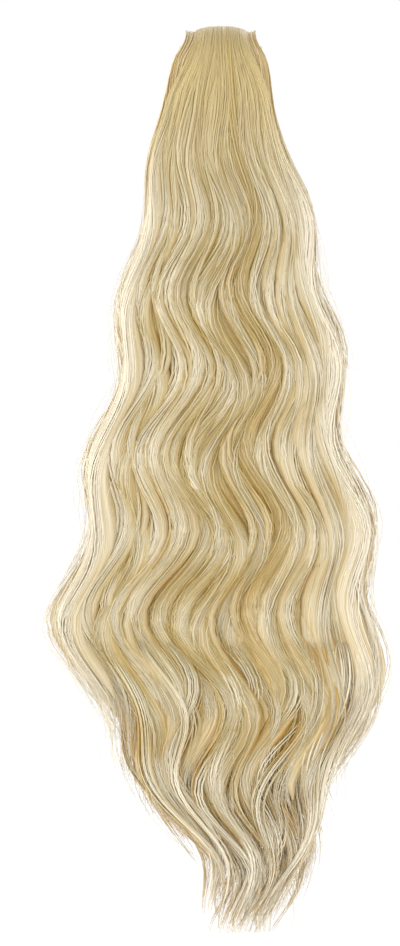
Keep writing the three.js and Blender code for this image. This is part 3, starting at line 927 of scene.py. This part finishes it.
for number, (name, layer) in enumerate(LAYERS.items()):
    skins = lock_skins(f"{name}_locks", layer, plans[name], SKIN_SEED + number)
    finish_piece(skins, lock_hair[name])
    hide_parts(f"{name}_layer")
    tables = strands_of(layer, plans[name], STRAND_SEED + number)
    order = np.argsort(tables[0]["home"], kind="stable")
    for i, chosen in enumerate(np.array_split(order, PARTS[name]), 1):
        part = [{key: value[chosen] for key, value in table.items()} for table in tables]
        piece = strand_piece(f"{name}_strands_{i}", layer, *part)
        finish_piece(piece, strand_hair[name])

# %% [markdown]
# ## Wisps and flyaways
#
# A cut end of hair never closes: it frays into small bundles that cross each other, each with its own
# curl. They start deep inside the tail, where their upper ends don't show. Flyaways are single hairs
# that have left their lock along its whole length, and they soften the outline.

# %% Wisps at the tips
WISP_STEPS = 22
WISP_SPREAD = 0.8
WISP_ROWS = [
    {"layer": "outer", "count": 8, "lift": 1.0, "thick": 0.2, "strands": 8, "sweep": 0.55},
    {"layer": "outer", "count": 12, "lift": 0.86, "thick": 0.45, "strands": 24, "sweep": 0.34},
    {"layer": "outer", "count": 14, "lift": 0.60, "thick": 0.40, "strands": 17, "sweep": 0.12},
    {"layer": "middle", "count": 16, "lift": 0.50, "thick": 0.45, "strands": 17, "sweep": 0.12},
    {"layer": "under", "count": 12, "lift": 0.60, "thick": 0.45, "strands": 17, "sweep": 0.12},
]
WISP_STRAY = 1.3
SWEPT = 0.6
WISP_BEGIN = 0.68
WISP_PLACES = 0.86
WISP_MIDDLE = 0.05
WISP_HEARTS = 0.3
WISP_GATHERS = (0.3, 0.8)
WISP_CURL = 0.03
WISP_SHORTER = (0, 0.03)
WISP_DRIFTS = (0.03, 0.07)
WISP_TONE = 0.58
WISP_TONES = 0.14
WISP_REACH = (0.96, 1.01)
WISP_TIP = 0.3
WISP_END = 0.25
WISP_END_POWER = 3
WISP_ROOT = (-0.05, 0.1)
WISP_SEED = 71


def merged(blocks):
    """Blocks of (points, radius, values) as one, all with the same number of stations."""
    points = np.concatenate([block[0] for block in blocks])
    radius = np.concatenate([block[1] for block in blocks])
    values = {key: np.concatenate([block[2][key] for block in blocks]) for key in blocks[0][2]}
    return points, radius, values


def wisp_strands(rows, seed):
    """Short strands that fill out the tips of all layers."""
    random = np.random.default_rng(seed)
    blocks = []
    for row in rows:
        layer = LAYERS[row["layer"]]
        count = row["count"]
        plan = plan_locks(layer, [row | {"spread": WISP_SPREAD, "stray": WISP_STRAY}], seed)
        plan["home"] = plan["home"] * WISP_PLACES + WISP_MIDDLE
        plan["heart"] = plan["home"] * WISP_HEARTS + WISP_MIDDLE
        plan["gather"] = random.uniform(*WISP_GATHERS, count)
        plan["curl"] = random.normal(0, WISP_CURL, count)
        plan["sweep"] = random.normal(0, 1, count) * row["sweep"]
        ends = between(plan["home"], plan["heart"], plan["gather"]) + SWEPT * plan["sweep"]
        plan["reach"] = cut_level(ends, plan["curl"]) - random.uniform(*WISP_SHORTER, count)
        plan["drift"] = random.uniform(*WISP_DRIFTS, count)
        plan["tone"] = random.normal(WISP_TONE, WISP_TONES, count)
        lock, own, frizz = strands_of(layer, plan, seed + 1)
        reach = np.minimum(lock["reach"] * random.uniform(*WISP_REACH, len(own["reach"])), 1.0)
        turn, height = hang(layer, reach, WISP_STEPS, WISP_BEGIN)
        seat = own["across"], own["outward"]
        points, values = lay_fibres(layer, lock, *seat, turn, height, WISP_TIP, frizz)
        share = np.linspace(0, 1, WISP_STEPS)[None]
        thick = between(1, WISP_END, share**WISP_END_POWER)
        radius = own["radius"][:, None] * thick * smoothly(share, *WISP_ROOT)
        values["tone"] = np.broadcast_to(own["tone"][:, None], radius.shape)
        blocks.append((points, radius, values))
        seed += 2
    return merged(blocks)


wisps = tube_mesh("tip_wisps", *wisp_strands(WISP_ROWS, WISP_SEED))
finish_piece(wisps, strand_hair["outer"])

# %% Flyaways
FLYAWAY_COUNT = 50
FLYAWAY_RADIUS = 0.13
FLYAWAY_STEPS = 40
FLYAWAY_BEGIN = 0.07
FLYAWAY_AT_SIDE = 0.7
FLYAWAY_SIDES = (0.8, 1.0)
FLYAWAY_HALF = 0.03
FLYAWAY_SWINGS = (0.8, 1.8)
FLYAWAY_DELAY = 0.6
FLYAWAY_REACH = (0.35, 1.0)
FLYAWAY_FRIZZ = {"x": 1.6, "y": 1.2}
FLYAWAY_PACES = (8, 26)
FLYAWAY_ENDS = (-0.1, 0.1)
# Flyaways get less painted shade, and a pale tone as painted glow, for light shining through single hairs.
FLYAWAY_INNER = 0.3
FLYAWAY_TONE = 0.75
FLYAWAY_SEED = 91


def flyaways(seed):
    """Single loose hairs of each layer, most of them along the two sides."""
    random = np.random.default_rng(seed)
    blocks = []
    row = {"count": FLYAWAY_COUNT, "lift": 0.8, "thick": 0.3, "spread": 1.0, "strands": 1, "stray": 2.0}
    for layer in LAYERS.values():
        plan = plan_locks(layer, [row], seed)
        side = random.choice([-1, 1], FLYAWAY_COUNT) * random.uniform(*FLYAWAY_SIDES, FLYAWAY_COUNT)
        at_side = random.random(FLYAWAY_COUNT) < FLYAWAY_AT_SIDE
        plan["home"] = np.where(at_side, side, plan["home"])
        plan["half"] = np.full(FLYAWAY_COUNT, FLYAWAY_HALF)
        plan["swing"] = random.uniform(*FLYAWAY_SWINGS, FLYAWAY_COUNT)
        plan["delay"] = random.normal(0, FLYAWAY_DELAY, FLYAWAY_COUNT)
        lock, own, frizz = strands_of(layer, plan, seed + 1)
        reach = own["reach"] * random.uniform(*FLYAWAY_REACH, FLYAWAY_COUNT)
        for way, size in FLYAWAY_FRIZZ.items():
            frizz[way] = random.normal(0, size, FLYAWAY_COUNT)
        frizz["pace"] = random.uniform(*FLYAWAY_PACES, FLYAWAY_COUNT)
        turn, height = hang(layer, reach, FLYAWAY_STEPS, FLYAWAY_BEGIN)
        seat = own["across"], own["outward"]
        points, values = lay_fibres(layer, lock, *seat, turn, height, 1.0, frizz)
        share = np.linspace(0, 1, FLYAWAY_STEPS)[None]
        radius = np.broadcast_to(FLYAWAY_RADIUS * smoothly(share, *FLYAWAY_ENDS), points.shape[:2])
        values["inner"] = values["inner"] * FLYAWAY_INNER
        values["tone"] = np.full(radius.shape, FLYAWAY_TONE)
        blocks.append((points, radius, values))
        seed += 2
    return merged(blocks)


loose = tube_mesh("flyaway_hairs", *flyaways(FLYAWAY_SEED))
finish_piece(loose, strand_hair["outer"])

# %% [markdown]
# ## Materials of the hidden parts
#
# Behind the crown are three plain materials: moulded plastic, spring steel and woven tape. What they
# share is handling: faint scuffs that change how each one shines. So scuffs are one group, placed in
# all three with their own size and strength. Tape and thread also share a fine weave.

# %% Scuffs and weave
SCUFF_STRETCH = (0.18, 1.0, 1.0)
SCUFF_RANGE = (0.45, 0.72)
scuffs, given, result = node_group(
    "handling_scuffs",
    [("Place", PLACE, (0, 0, 0)), ("Size", NUMBER, 900), ("Strength", NUMBER, 0.5)],
    [("Mask", NUMBER), ("Height", NUMBER)],
)
stretch = scuffs.nodes.new("ShaderNodeVectorMath")
stretch.operation = "MULTIPLY"
stretch.inputs[1].default_value = SCUFF_STRETCH
scuffs.links.new(given.outputs["Place"], stretch.inputs[0])
rubbed = scuffs.nodes.new("ShaderNodeTexNoise")
rubbed.inputs["Detail"].default_value = 3.0
scuffs.links.new(stretch.outputs["Vector"], rubbed.inputs["Vector"])
scuffs.links.new(given.outputs["Size"], rubbed.inputs["Scale"])
worn = range_node(scuffs, rubbed.outputs["Fac"], *SCUFF_RANGE)
scuffs.links.new(math_node(scuffs, "MULTIPLY", worn, given.outputs["Strength"]), result.inputs["Mask"])
raised = math_node(scuffs, "MULTIPLY", rubbed.outputs["Fac"], given.outputs["Strength"])
scuffs.links.new(raised, result.inputs["Height"])

weave, given, result = node_group(
    "woven_threads", [("Place", PLACE, (0, 0, 0)), ("Threads", NUMBER, 9000)],
    [("Crossing", NUMBER), ("Height", NUMBER)],
)
parts = weave.nodes.new("ShaderNodeSeparateXYZ")
weave.links.new(given.outputs["Place"], parts.inputs["Vector"])
upright = math_node(weave, "ADD", parts.outputs["Z"], parts.outputs["Y"])
warp, weft = (
    math_node(weave, "SINE", math_node(weave, "MULTIPLY", way, given.outputs["Threads"]), 0.0)
    for way in (parts.outputs["X"], upright)
)
crossing = range_node(weave, math_node(weave, "MULTIPLY", warp, weft), -1.0, 1.0)
weave.links.new(crossing, result.inputs["Crossing"])
weave.links.new(crossing, result.inputs["Height"])
print("scuffs and weave are ready")

# %% Plastic, steel and tape
FINISHES = {
    # size and strength of the scuffs, roughness where fresh and where worn, strength and depth of the bump
    "plastic": {"size": 700.0, "strength": 1.0, "rough": (0.28, 0.5), "bump": 0.3, "depth": 0.08},
    "steel": {"size": 2500.0, "strength": 1.0, "rough": (0.25, 0.5), "bump": 0.2, "depth": 0.03},
    "tape": {"size": 1400.0, "strength": 0.5, "rough": (0.75, 0.9), "bump": 0.8, "depth": 0.1},
    "thread": {"size": 1400.0, "strength": 0.5, "rough": (0.75, 0.9), "bump": 0.5, "depth": 0.1},
}
CLOUD_SIZE = 60.0
CLOUD_RANGE = (0.3, 0.7)
MILK, CLOUD, WHITENED = dye(214, 196, 158), dye(229, 216, 186), dye(240, 234, 220)
WHITENING = 0.25
BRIGHT_STEEL, DULL_STEEL = dye(196, 194, 190), dye(132, 128, 122)


def scuffed(name, finish, **constants):
    """A material with its scuffs in place, ready for its own colour."""
    material, tree, shader = principled(name, **constants)
    place = tree.nodes.new("ShaderNodeTexCoord").outputs["Object"]
    rubbed = place_group(tree, scuffs, Place=place, Size=finish["size"], Strength=finish["strength"])
    return material, tree, shader, place, rubbed


def surfaced(tree, shader, colour, rubbed, height, finish):
    """Link a colour, a roughness that grows with the scuffs, and a bump."""
    tree.links.new(colour, shader.inputs["Base Color"])
    dulled = range_node(tree, rubbed.outputs["Mask"], 0.0, finish["strength"], *finish["rough"])
    tree.links.new(dulled, shader.inputs["Roughness"])
    bumped(tree, shader, height, finish["bump"], finish["depth"])


def clip_plastic(finish):
    """Milky moulded plastic with cloudy colour, a fine moulded grain and faint scuffs."""
    material, tree, shader, place, rubbed = scuffed(
        "milky_plastic", finish, Coat_Weight=0.25, Coat_Roughness=0.2
    )
    cloud = tree.nodes.new("ShaderNodeTexNoise")
    cloud.inputs["Scale"].default_value = CLOUD_SIZE
    cloud.inputs["Detail"].default_value = 4.0
    tree.links.new(place, cloud.inputs["Vector"])
    colour = colour_mix(tree, range_node(tree, cloud.outputs["Fac"], *CLOUD_RANGE), MILK, CLOUD)
    whitened = math_node(tree, "MULTIPLY", rubbed.outputs["Mask"], WHITENING)
    colour = colour_mix(tree, whitened, colour, WHITENED)
    surfaced(tree, shader, colour, rubbed, rubbed.outputs["Height"], finish)
    return material


def spring_steel(finish):
    """Drawn steel wire with dull streaks along it."""
    material, tree, shader, _, rubbed = scuffed("spring_steel", finish, Metallic=1.0)
    colour = colour_mix(tree, rubbed.outputs["Mask"], BRIGHT_STEEL, DULL_STEEL)
    surfaced(tree, shader, colour, rubbed, rubbed.outputs["Height"], finish)
    return material


def woven_cloth(name, finish, light, dark, threads):
    """Woven tape or twisted thread, with painted shade between its yarns."""
    material, tree, shader, place, rubbed = scuffed(
        name, finish, Sheen_Weight=0.2, Sheen_Roughness=0.5, Specular_IOR_Level=0.25
    )
    woven = place_group(tree, weave, Place=place, Threads=threads)
    # Painted shade between the yarns, from the weave's crossings.
    colour = colour_mix(tree, woven.outputs["Crossing"], dark, light)
    colour = colour_mix(tree, rubbed.outputs["Mask"], colour, dark)
    surfaced(tree, shader, colour, rubbed, woven.outputs["Height"], finish)
    return material


PLASTIC = clip_plastic(FINISHES["plastic"])
STEEL = spring_steel(FINISHES["steel"])
TAPE = woven_cloth(
    "weft_tape_cloth", FINISHES["tape"], light=dye(206, 186, 140), dark=dye(160, 134, 84), threads=9000.0
)
THREAD = woven_cloth(
    "sewing_thread", FINISHES["thread"], light=dye(232, 218, 182), dark=dye(188, 164, 112), threads=16000.0
)
print("plastic, steel, tape and thread")

# %% [markdown]
# ## Sewn tapes
#
# The machine sews the fibre into a tape, and the tape's edge is what you see behind the crown. Each
# tape is one rounded band that puckers a little between its stitches. Two threads hold it: a zigzag
# over its back, and a straight row along its upper edge. The crown's arch bends the band and its
# threads alike, so both read the same table.

# %% Bands and threads
WEFTS = [
    # half width, y and z of its middle, half depth, half height, drop of its ends
    (16.6, 9.3, 25.5, 0.9, 2.0, 3.2),
    (22.0, 9.3, 19.8, 0.9, 3.8, -0.6),
    (20.4, 5.4, -17.0, 1.6, 1.0, 0.0),
]
BAND_STATIONS = 90
BAND_SIDES = 14
STITCH = 2.6
PUCKER = 0.07
BAND_CLOSING = 12
BAND_TIP = 0.02
BAND_FLATNESS = 0.8
SEAMS = (
    # a thread's swing across the tape, its height on the tape, and its pitch
    (0.55, 0.0, STITCH),
    (0.02, 0.75, STITCH / 2),
)
SEWN_SPAN = 0.97
THREAD_RADIUS = 0.27
THREAD_STATIONS = 260
THREAD_SIDES = 5
DIP = 3.2
DIP_POWER = 8


def band_rings(weft):
    """Rings of one tape, from its left end to its right end."""
    wide, y, z, deep, tall, drop = weft
    share = np.sin(np.linspace(-1, 1, BAND_STATIONS) * math.pi / 2)
    x = wide * share
    angle = 2 * math.pi * np.arange(BAND_SIDES) / BAND_SIDES
    close = np.clip((1 - share**2) * BAND_CLOSING, BAND_TIP, 1) ** 0.5
    size = close * (1 - PUCKER * np.cos(2 * math.pi * x / STITCH))
    flat = np.sign(np.cos(angle)) * np.abs(np.cos(angle)) ** BAND_FLATNESS
    ring_y = y + deep * size[:, None] * flat
    ring_z = z - drop * np.abs(share[:, None]) ** ARCH_POWER + tall * size[:, None] * np.sin(angle)
    return np.stack([np.broadcast_to(x[:, None], ring_y.shape), ring_y, ring_z], axis=-1)


def stitch_path(weft, across, height, pitch):
    """A thread that dips into the tape at each turn."""
    wide, y, z, deep, tall, drop = weft
    share = np.linspace(-SEWN_SPAN, SEWN_SPAN, THREAD_STATIONS)
    x = wide * share
    swing = 2 * np.abs(2 * np.mod(x / pitch, 1) - 1) - 1
    at = height + across * swing
    proud = THREAD_RADIUS * (1 - DIP * np.abs(swing) ** DIP_POWER)
    face = deep * np.sqrt(np.clip(1 - at**2, 0, 1)) + proud
    return np.stack([x, y + face, z - drop * np.abs(share) ** ARCH_POWER + tall * at], axis=-1)


bands = np.stack([band_rings(weft) for weft in WEFTS])
finish_piece(ring_mesh("sewn_tapes", bands, {}), TAPE)
threads = np.stack([stitch_path(weft, *seam) for seam in SEAMS for weft in WEFTS])
radius = np.full(threads.shape[:2], THREAD_RADIUS)
stitches = tube_mesh("tape_stitches", threads, radius, {}, THREAD_SIDES, sideways=(0.0, 1.0, 0.0))
finish_piece(stitches, THREAD)

# %% [markdown]
# ## The claw
#
# The clip is moulded in two halves: curved plates that end in teeth on one side and in a thumb tab on
# the other. Moulded plastic is nowhere sharp. So each plate is first drawn as a thin sheet of cells,
# then gets its wall by thickening and its soft edges by a bevel. Both jaws read the same narrowing
# towards their ends, so that the teeth still pass between each other.

# %% Jaws
CLIP_LENGTH = 50.4
CLIP_RADIUS = 16.0
CLIP_WALL = 2.2
CLIP_CORNER = 9.0
CORNER_ROOM = 1.0
TOOTH_PITCH = 7.4
TOOTH_WIDTH = 3.0
TOOTH_ROOT = 40.0
TOOTH_TIP = -14.0
TOOTH_TAPER = 0.3
TOOTH_ROUNDING = 14
TOOTH_END = 0.08
TOOTH_NUMBERS = range(-5, 6)
JAW_BACK = 176.0
TOOTH_COLUMNS = 3
GAP_COLUMNS = 4
TOOTH_ROWS = 15
PLATE_ROWS = 30
SPRING_ROOM = 7.6
SPRING_NOTCH = 166.0
EDGE_ROUNDING = 0.5
EDGE_ROUNDS = 2
EDGE_SHARPNESS = 50


def plate_piece(name, across, along, keep, place, wall, flip):
    """A sheet of the kept cells of a grid, thickened inwards and rounded."""
    cells = [
        (i, j) for i in range(len(across) - 1) for j in range(len(along) - 1)
        if keep((across[i] + across[i + 1]) / 2, (along[j] + along[j + 1]) / 2)
    ]
    corners = sorted({(i + a, j + b) for i, j in cells for a in (0, 1) for b in (0, 1)})
    index = {corner: k for k, corner in enumerate(corners)}
    order = ((0, 0), (1, 0), (1, 1), (0, 1)) if flip else ((0, 0), (0, 1), (1, 1), (1, 0))
    mesh = bpy.data.meshes.new(name)
    mesh.from_pydata(
        [Vector(place(across[i], along[j])) * MM for i, j in corners], [],
        [[index[i + a, j + b] for a, b in order] for i, j in cells],
    )
    mesh.shade_smooth()
    piece = bpy.data.objects.new(name, mesh)
    bpy.context.scene.collection.objects.link(piece)
    thicken = piece.modifiers.new("wall", "SOLIDIFY")
    thicken.thickness = wall * MM
    thicken.offset = -1
    soften = piece.modifiers.new("moulded_edges", "BEVEL")
    soften.width = EDGE_ROUNDING * MM
    soften.segments = EDGE_ROUNDS
    soften.limit_method = "ANGLE"
    soften.angle_limit = math.radians(EDGE_SHARPNESS)
    print(name, len(cells), "cells")
    return piece


def half_at(y, half, front, corner):
    """Half width of a plan with round corners, at a distance from its middle."""
    past = max(abs(y) - (front - corner), 0)
    return half - corner + math.sqrt(max(corner**2 - past**2, 0))


def jaw_piece(name, up, shift):
    """One jaw. up is 1 for the upper and -1 for the lower, and shift moves its teeth sideways."""
    half_length = CLIP_LENGTH / 2
    middles = np.array(TOOTH_NUMBERS) * TOOTH_PITCH + shift
    teeth = [middle for middle in middles if abs(middle) + TOOTH_WIDTH / 2 < half_length]
    columns = [-half_length]
    for tooth in teeth:
        left = tooth - TOOTH_WIDTH / 2
        columns += list(np.linspace(columns[-1], left, GAP_COLUMNS + 1)[1:])
        columns += list(np.linspace(left, left + TOOTH_WIDTH, TOOTH_COLUMNS + 1)[1:])
    columns += list(np.linspace(columns[-1], half_length, GAP_COLUMNS + 1)[1:])
    tooth_rows = np.linspace(TOOTH_TIP, TOOTH_ROOT, TOOTH_ROWS)
    plate_rows = np.linspace(TOOTH_ROOT, JAW_BACK, PLATE_ROWS)
    rows = np.concatenate([tooth_rows, plate_rows[1:]])

    def keep(x, angle):
        if angle > TOOTH_ROOT:
            return abs(x) > SPRING_ROOM or angle < SPRING_NOTCH
        return min(abs(x - tooth) for tooth in teeth) < TOOTH_WIDTH / 2

    def place(x, angle):
        if angle < TOOTH_ROOT:
            tooth = min(teeth, key=lambda middle: abs(middle - x))
            down = (TOOTH_ROOT - angle) / (TOOTH_ROOT - TOOTH_TIP)
            rounded = math.sqrt(max(1 - down**TOOTH_ROUNDING, TOOTH_END))
            x = tooth + (x - tooth) * (1 - TOOTH_TAPER * down) * rounded
        turn = math.radians(angle)
        y = CLIP_RADIUS * math.cos(turn)
        scale = half_at(y, half_length, CLIP_RADIUS + CORNER_ROOM, CLIP_CORNER) / half_length
        return x * scale, y, up * CLIP_RADIUS * math.sin(turn)

    return plate_piece(name, columns, rows, keep, place, CLIP_WALL, flip=up < 0)


for name, up, shift in (("claw_jaw_upper", 1, 0.0), ("claw_jaw_lower", -1, TOOTH_PITCH / 2)):
    jaw = jaw_piece(name, up, shift)
    finish_piece(jaw, PLASTIC)
    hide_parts("claw_clip")

# %% [markdown]
# ## Thumb tabs
#
# Two tabs slope out from the hinge, and pressing them together opens the claw. Fingers need grip, so
# each tab has raised bars across it. They are half sunk in the tab's face, as a mould leaves them.

# %% Tabs and their grips
TAB_ROOT = 1.3
TAB_REACH = 11.0
TAB_RISE = 10.0
TAB_WIDTH = 30.0
TAB_CORNER = 6.0
TAB_WALL = 1.85
GRIPS = (0.56, 0.66, 0.76, 0.86)
NOTCH = 7.4
NOTCH_DEPTH = 0.44
TAB_END_ROOM = 0.5
TAB_CELLS = (24, 18)
GRIP_HALF = 11
GRIP_RADIUS = 0.55
GRIP_STATIONS = 14
GRIP_ROUNDING = 8
GRIP_END = 0.05
WIRE_SIDES = 10


def tab_place(x, share, up):
    """A point on a tab's outer face. share is 0 at the hinge and 1 at its end."""
    y = between(CLIP_WALL - CLIP_RADIUS, -CLIP_RADIUS - TAB_REACH, share)
    z = between(TAB_ROOT, TAB_RISE, share) + CLIP_WALL
    half = TAB_WIDTH / 2
    scale = half_at(y, half, CLIP_RADIUS + TAB_REACH + TAB_END_ROOM, TAB_CORNER) / half
    return x * scale, y, up * z


tab_columns = np.linspace(-TAB_WIDTH / 2, TAB_WIDTH / 2, TAB_CELLS[0] + 1)
tab_rows = np.linspace(0, 1, TAB_CELLS[1] + 1)
grips = []
for name, up in (("thumb_tab_upper", 1), ("thumb_tab_lower", -1)):
    tab = plate_piece(
        name, tab_columns, tab_rows,
        lambda x, share: abs(x) > NOTCH or share > NOTCH_DEPTH,
        lambda x, share: tab_place(x, share, up), TAB_WALL, flip=up < 0,
    )
    finish_piece(tab, PLASTIC)
    for share in GRIPS:
        grips.append([tab_place(x, share, up) for x in np.linspace(-GRIP_HALF, GRIP_HALF, GRIP_STATIONS)])
grips = np.array(grips)
end = np.sqrt(np.clip(1 - np.linspace(-1, 1, GRIP_STATIONS) ** GRIP_ROUNDING, GRIP_END, 1))
radius = np.broadcast_to(GRIP_RADIUS * end, grips.shape[:2])
bars = tube_mesh("thumb_grips", grips, radius, {}, WIRE_SIDES, sideways=(0.0, 0.0, 1.0))
finish_piece(bars, PLASTIC)

# %% [markdown]
# ## Hinge and spring
#
# Each half has two knuckles around a steel pin, and between them a coiled spring pushes the tabs
# apart. One path makes the whole wire: a straight leg against the upper tab, the turns around the
# pin, and the other leg. A leg leaves the coil where it touches it, which one arc cosine gives.

# %% Knuckles and pin
HINGE_RADIUS = 3.2
HINGE_Y = HINGE_RADIUS / 2 - CLIP_RADIUS
HINGE_LENGTH = 36.0
KNUCKLES = ((-18.0, -13.2), (-12.9, -8.2), (8.2, 12.9), (13.2, 18.0))
KNUCKLE_SHAPE = (
    # share of a knuckle's length, share of its radius
    (0.0, 0.86), (0.04, 0.96), (0.12, 1.0), (0.5, 1.0), (0.88, 1.0), (0.96, 0.96), (1.0, 0.86),
)
PIN_END = ((0.0, 1.3), (0.1, 2.1), (0.6, 1.89), (0.9, 0.6))  # way past the knuckles, radius
SPRING_TURNS = 5
SPRING_STATIONS = 22
SPRING_HALF = 6.2
SPRING_RADIUS = 2.4
WIRE_RADIUS = 0.6
LEG_REACH = 8.0
LEG_STATIONS = 12
ROUND_SIDES = 20


def turned(profiles):
    """Rings around the hinge's axis for profiles of (x, radius), all of one length."""
    angle = 2 * math.pi * np.arange(ROUND_SIDES) / ROUND_SIDES
    x, radius = profiles[..., :1], profiles[..., 1:]
    return np.stack([
        np.broadcast_to(x, (*profiles.shape[:2], ROUND_SIDES)),
        HINGE_Y + radius * np.cos(angle), radius * np.sin(angle),
    ], axis=-1)


knuckles = np.array([
    [(between(left, right, share), HINGE_RADIUS * size) for share, size in KNUCKLE_SHAPE]
    for left, right in KNUCKLES
])
finish_piece(ring_mesh("hinge_knuckles", turned(knuckles), {}), PLASTIC)

right_end = [(HINGE_LENGTH / 2 + past, radius) for past, radius in PIN_END]
left_end = [(-x, radius) for x, radius in reversed(right_end)]
finish_piece(ring_mesh("hinge_pin", turned(np.array([left_end + right_end])), {}), STEEL)

# %% Spring
leg_rise = (TAB_RISE - TAB_ROOT) / (TAB_REACH + CLIP_WALL) * LEG_REACH
touching = math.atan2(leg_rise, -LEG_REACH) - math.acos(SPRING_RADIUS / math.hypot(LEG_REACH, leg_rise))
turning = np.linspace(touching, -touching - 2 * math.pi * SPRING_TURNS, SPRING_TURNS * SPRING_STATIONS)
coil = np.stack([
    np.linspace(-SPRING_HALF, SPRING_HALF, len(turning)),
    HINGE_Y + SPRING_RADIUS * np.cos(turning),
    SPRING_RADIUS * np.sin(turning),
], axis=-1)
upper_end = np.array([-SPRING_HALF, HINGE_Y - LEG_REACH, leg_rise])
lower_end = np.array([SPRING_HALF, HINGE_Y - LEG_REACH, -leg_rise])
share = np.linspace(0, 1, LEG_STATIONS)[:-1, None]
wire = np.concatenate([
    between(upper_end, coil[0], share), coil, between(lower_end, coil[-1], share)[::-1],
])[None]
print("spring of", round(float(np.linalg.norm(np.diff(wire[0], axis=0), axis=1).sum())), "mm wire")
radius = np.full(wire.shape[:2], WIRE_RADIUS)
finish_piece(tube_mesh("hinge_spring", wire, radius, {}, WIRE_SIDES), STEEL)
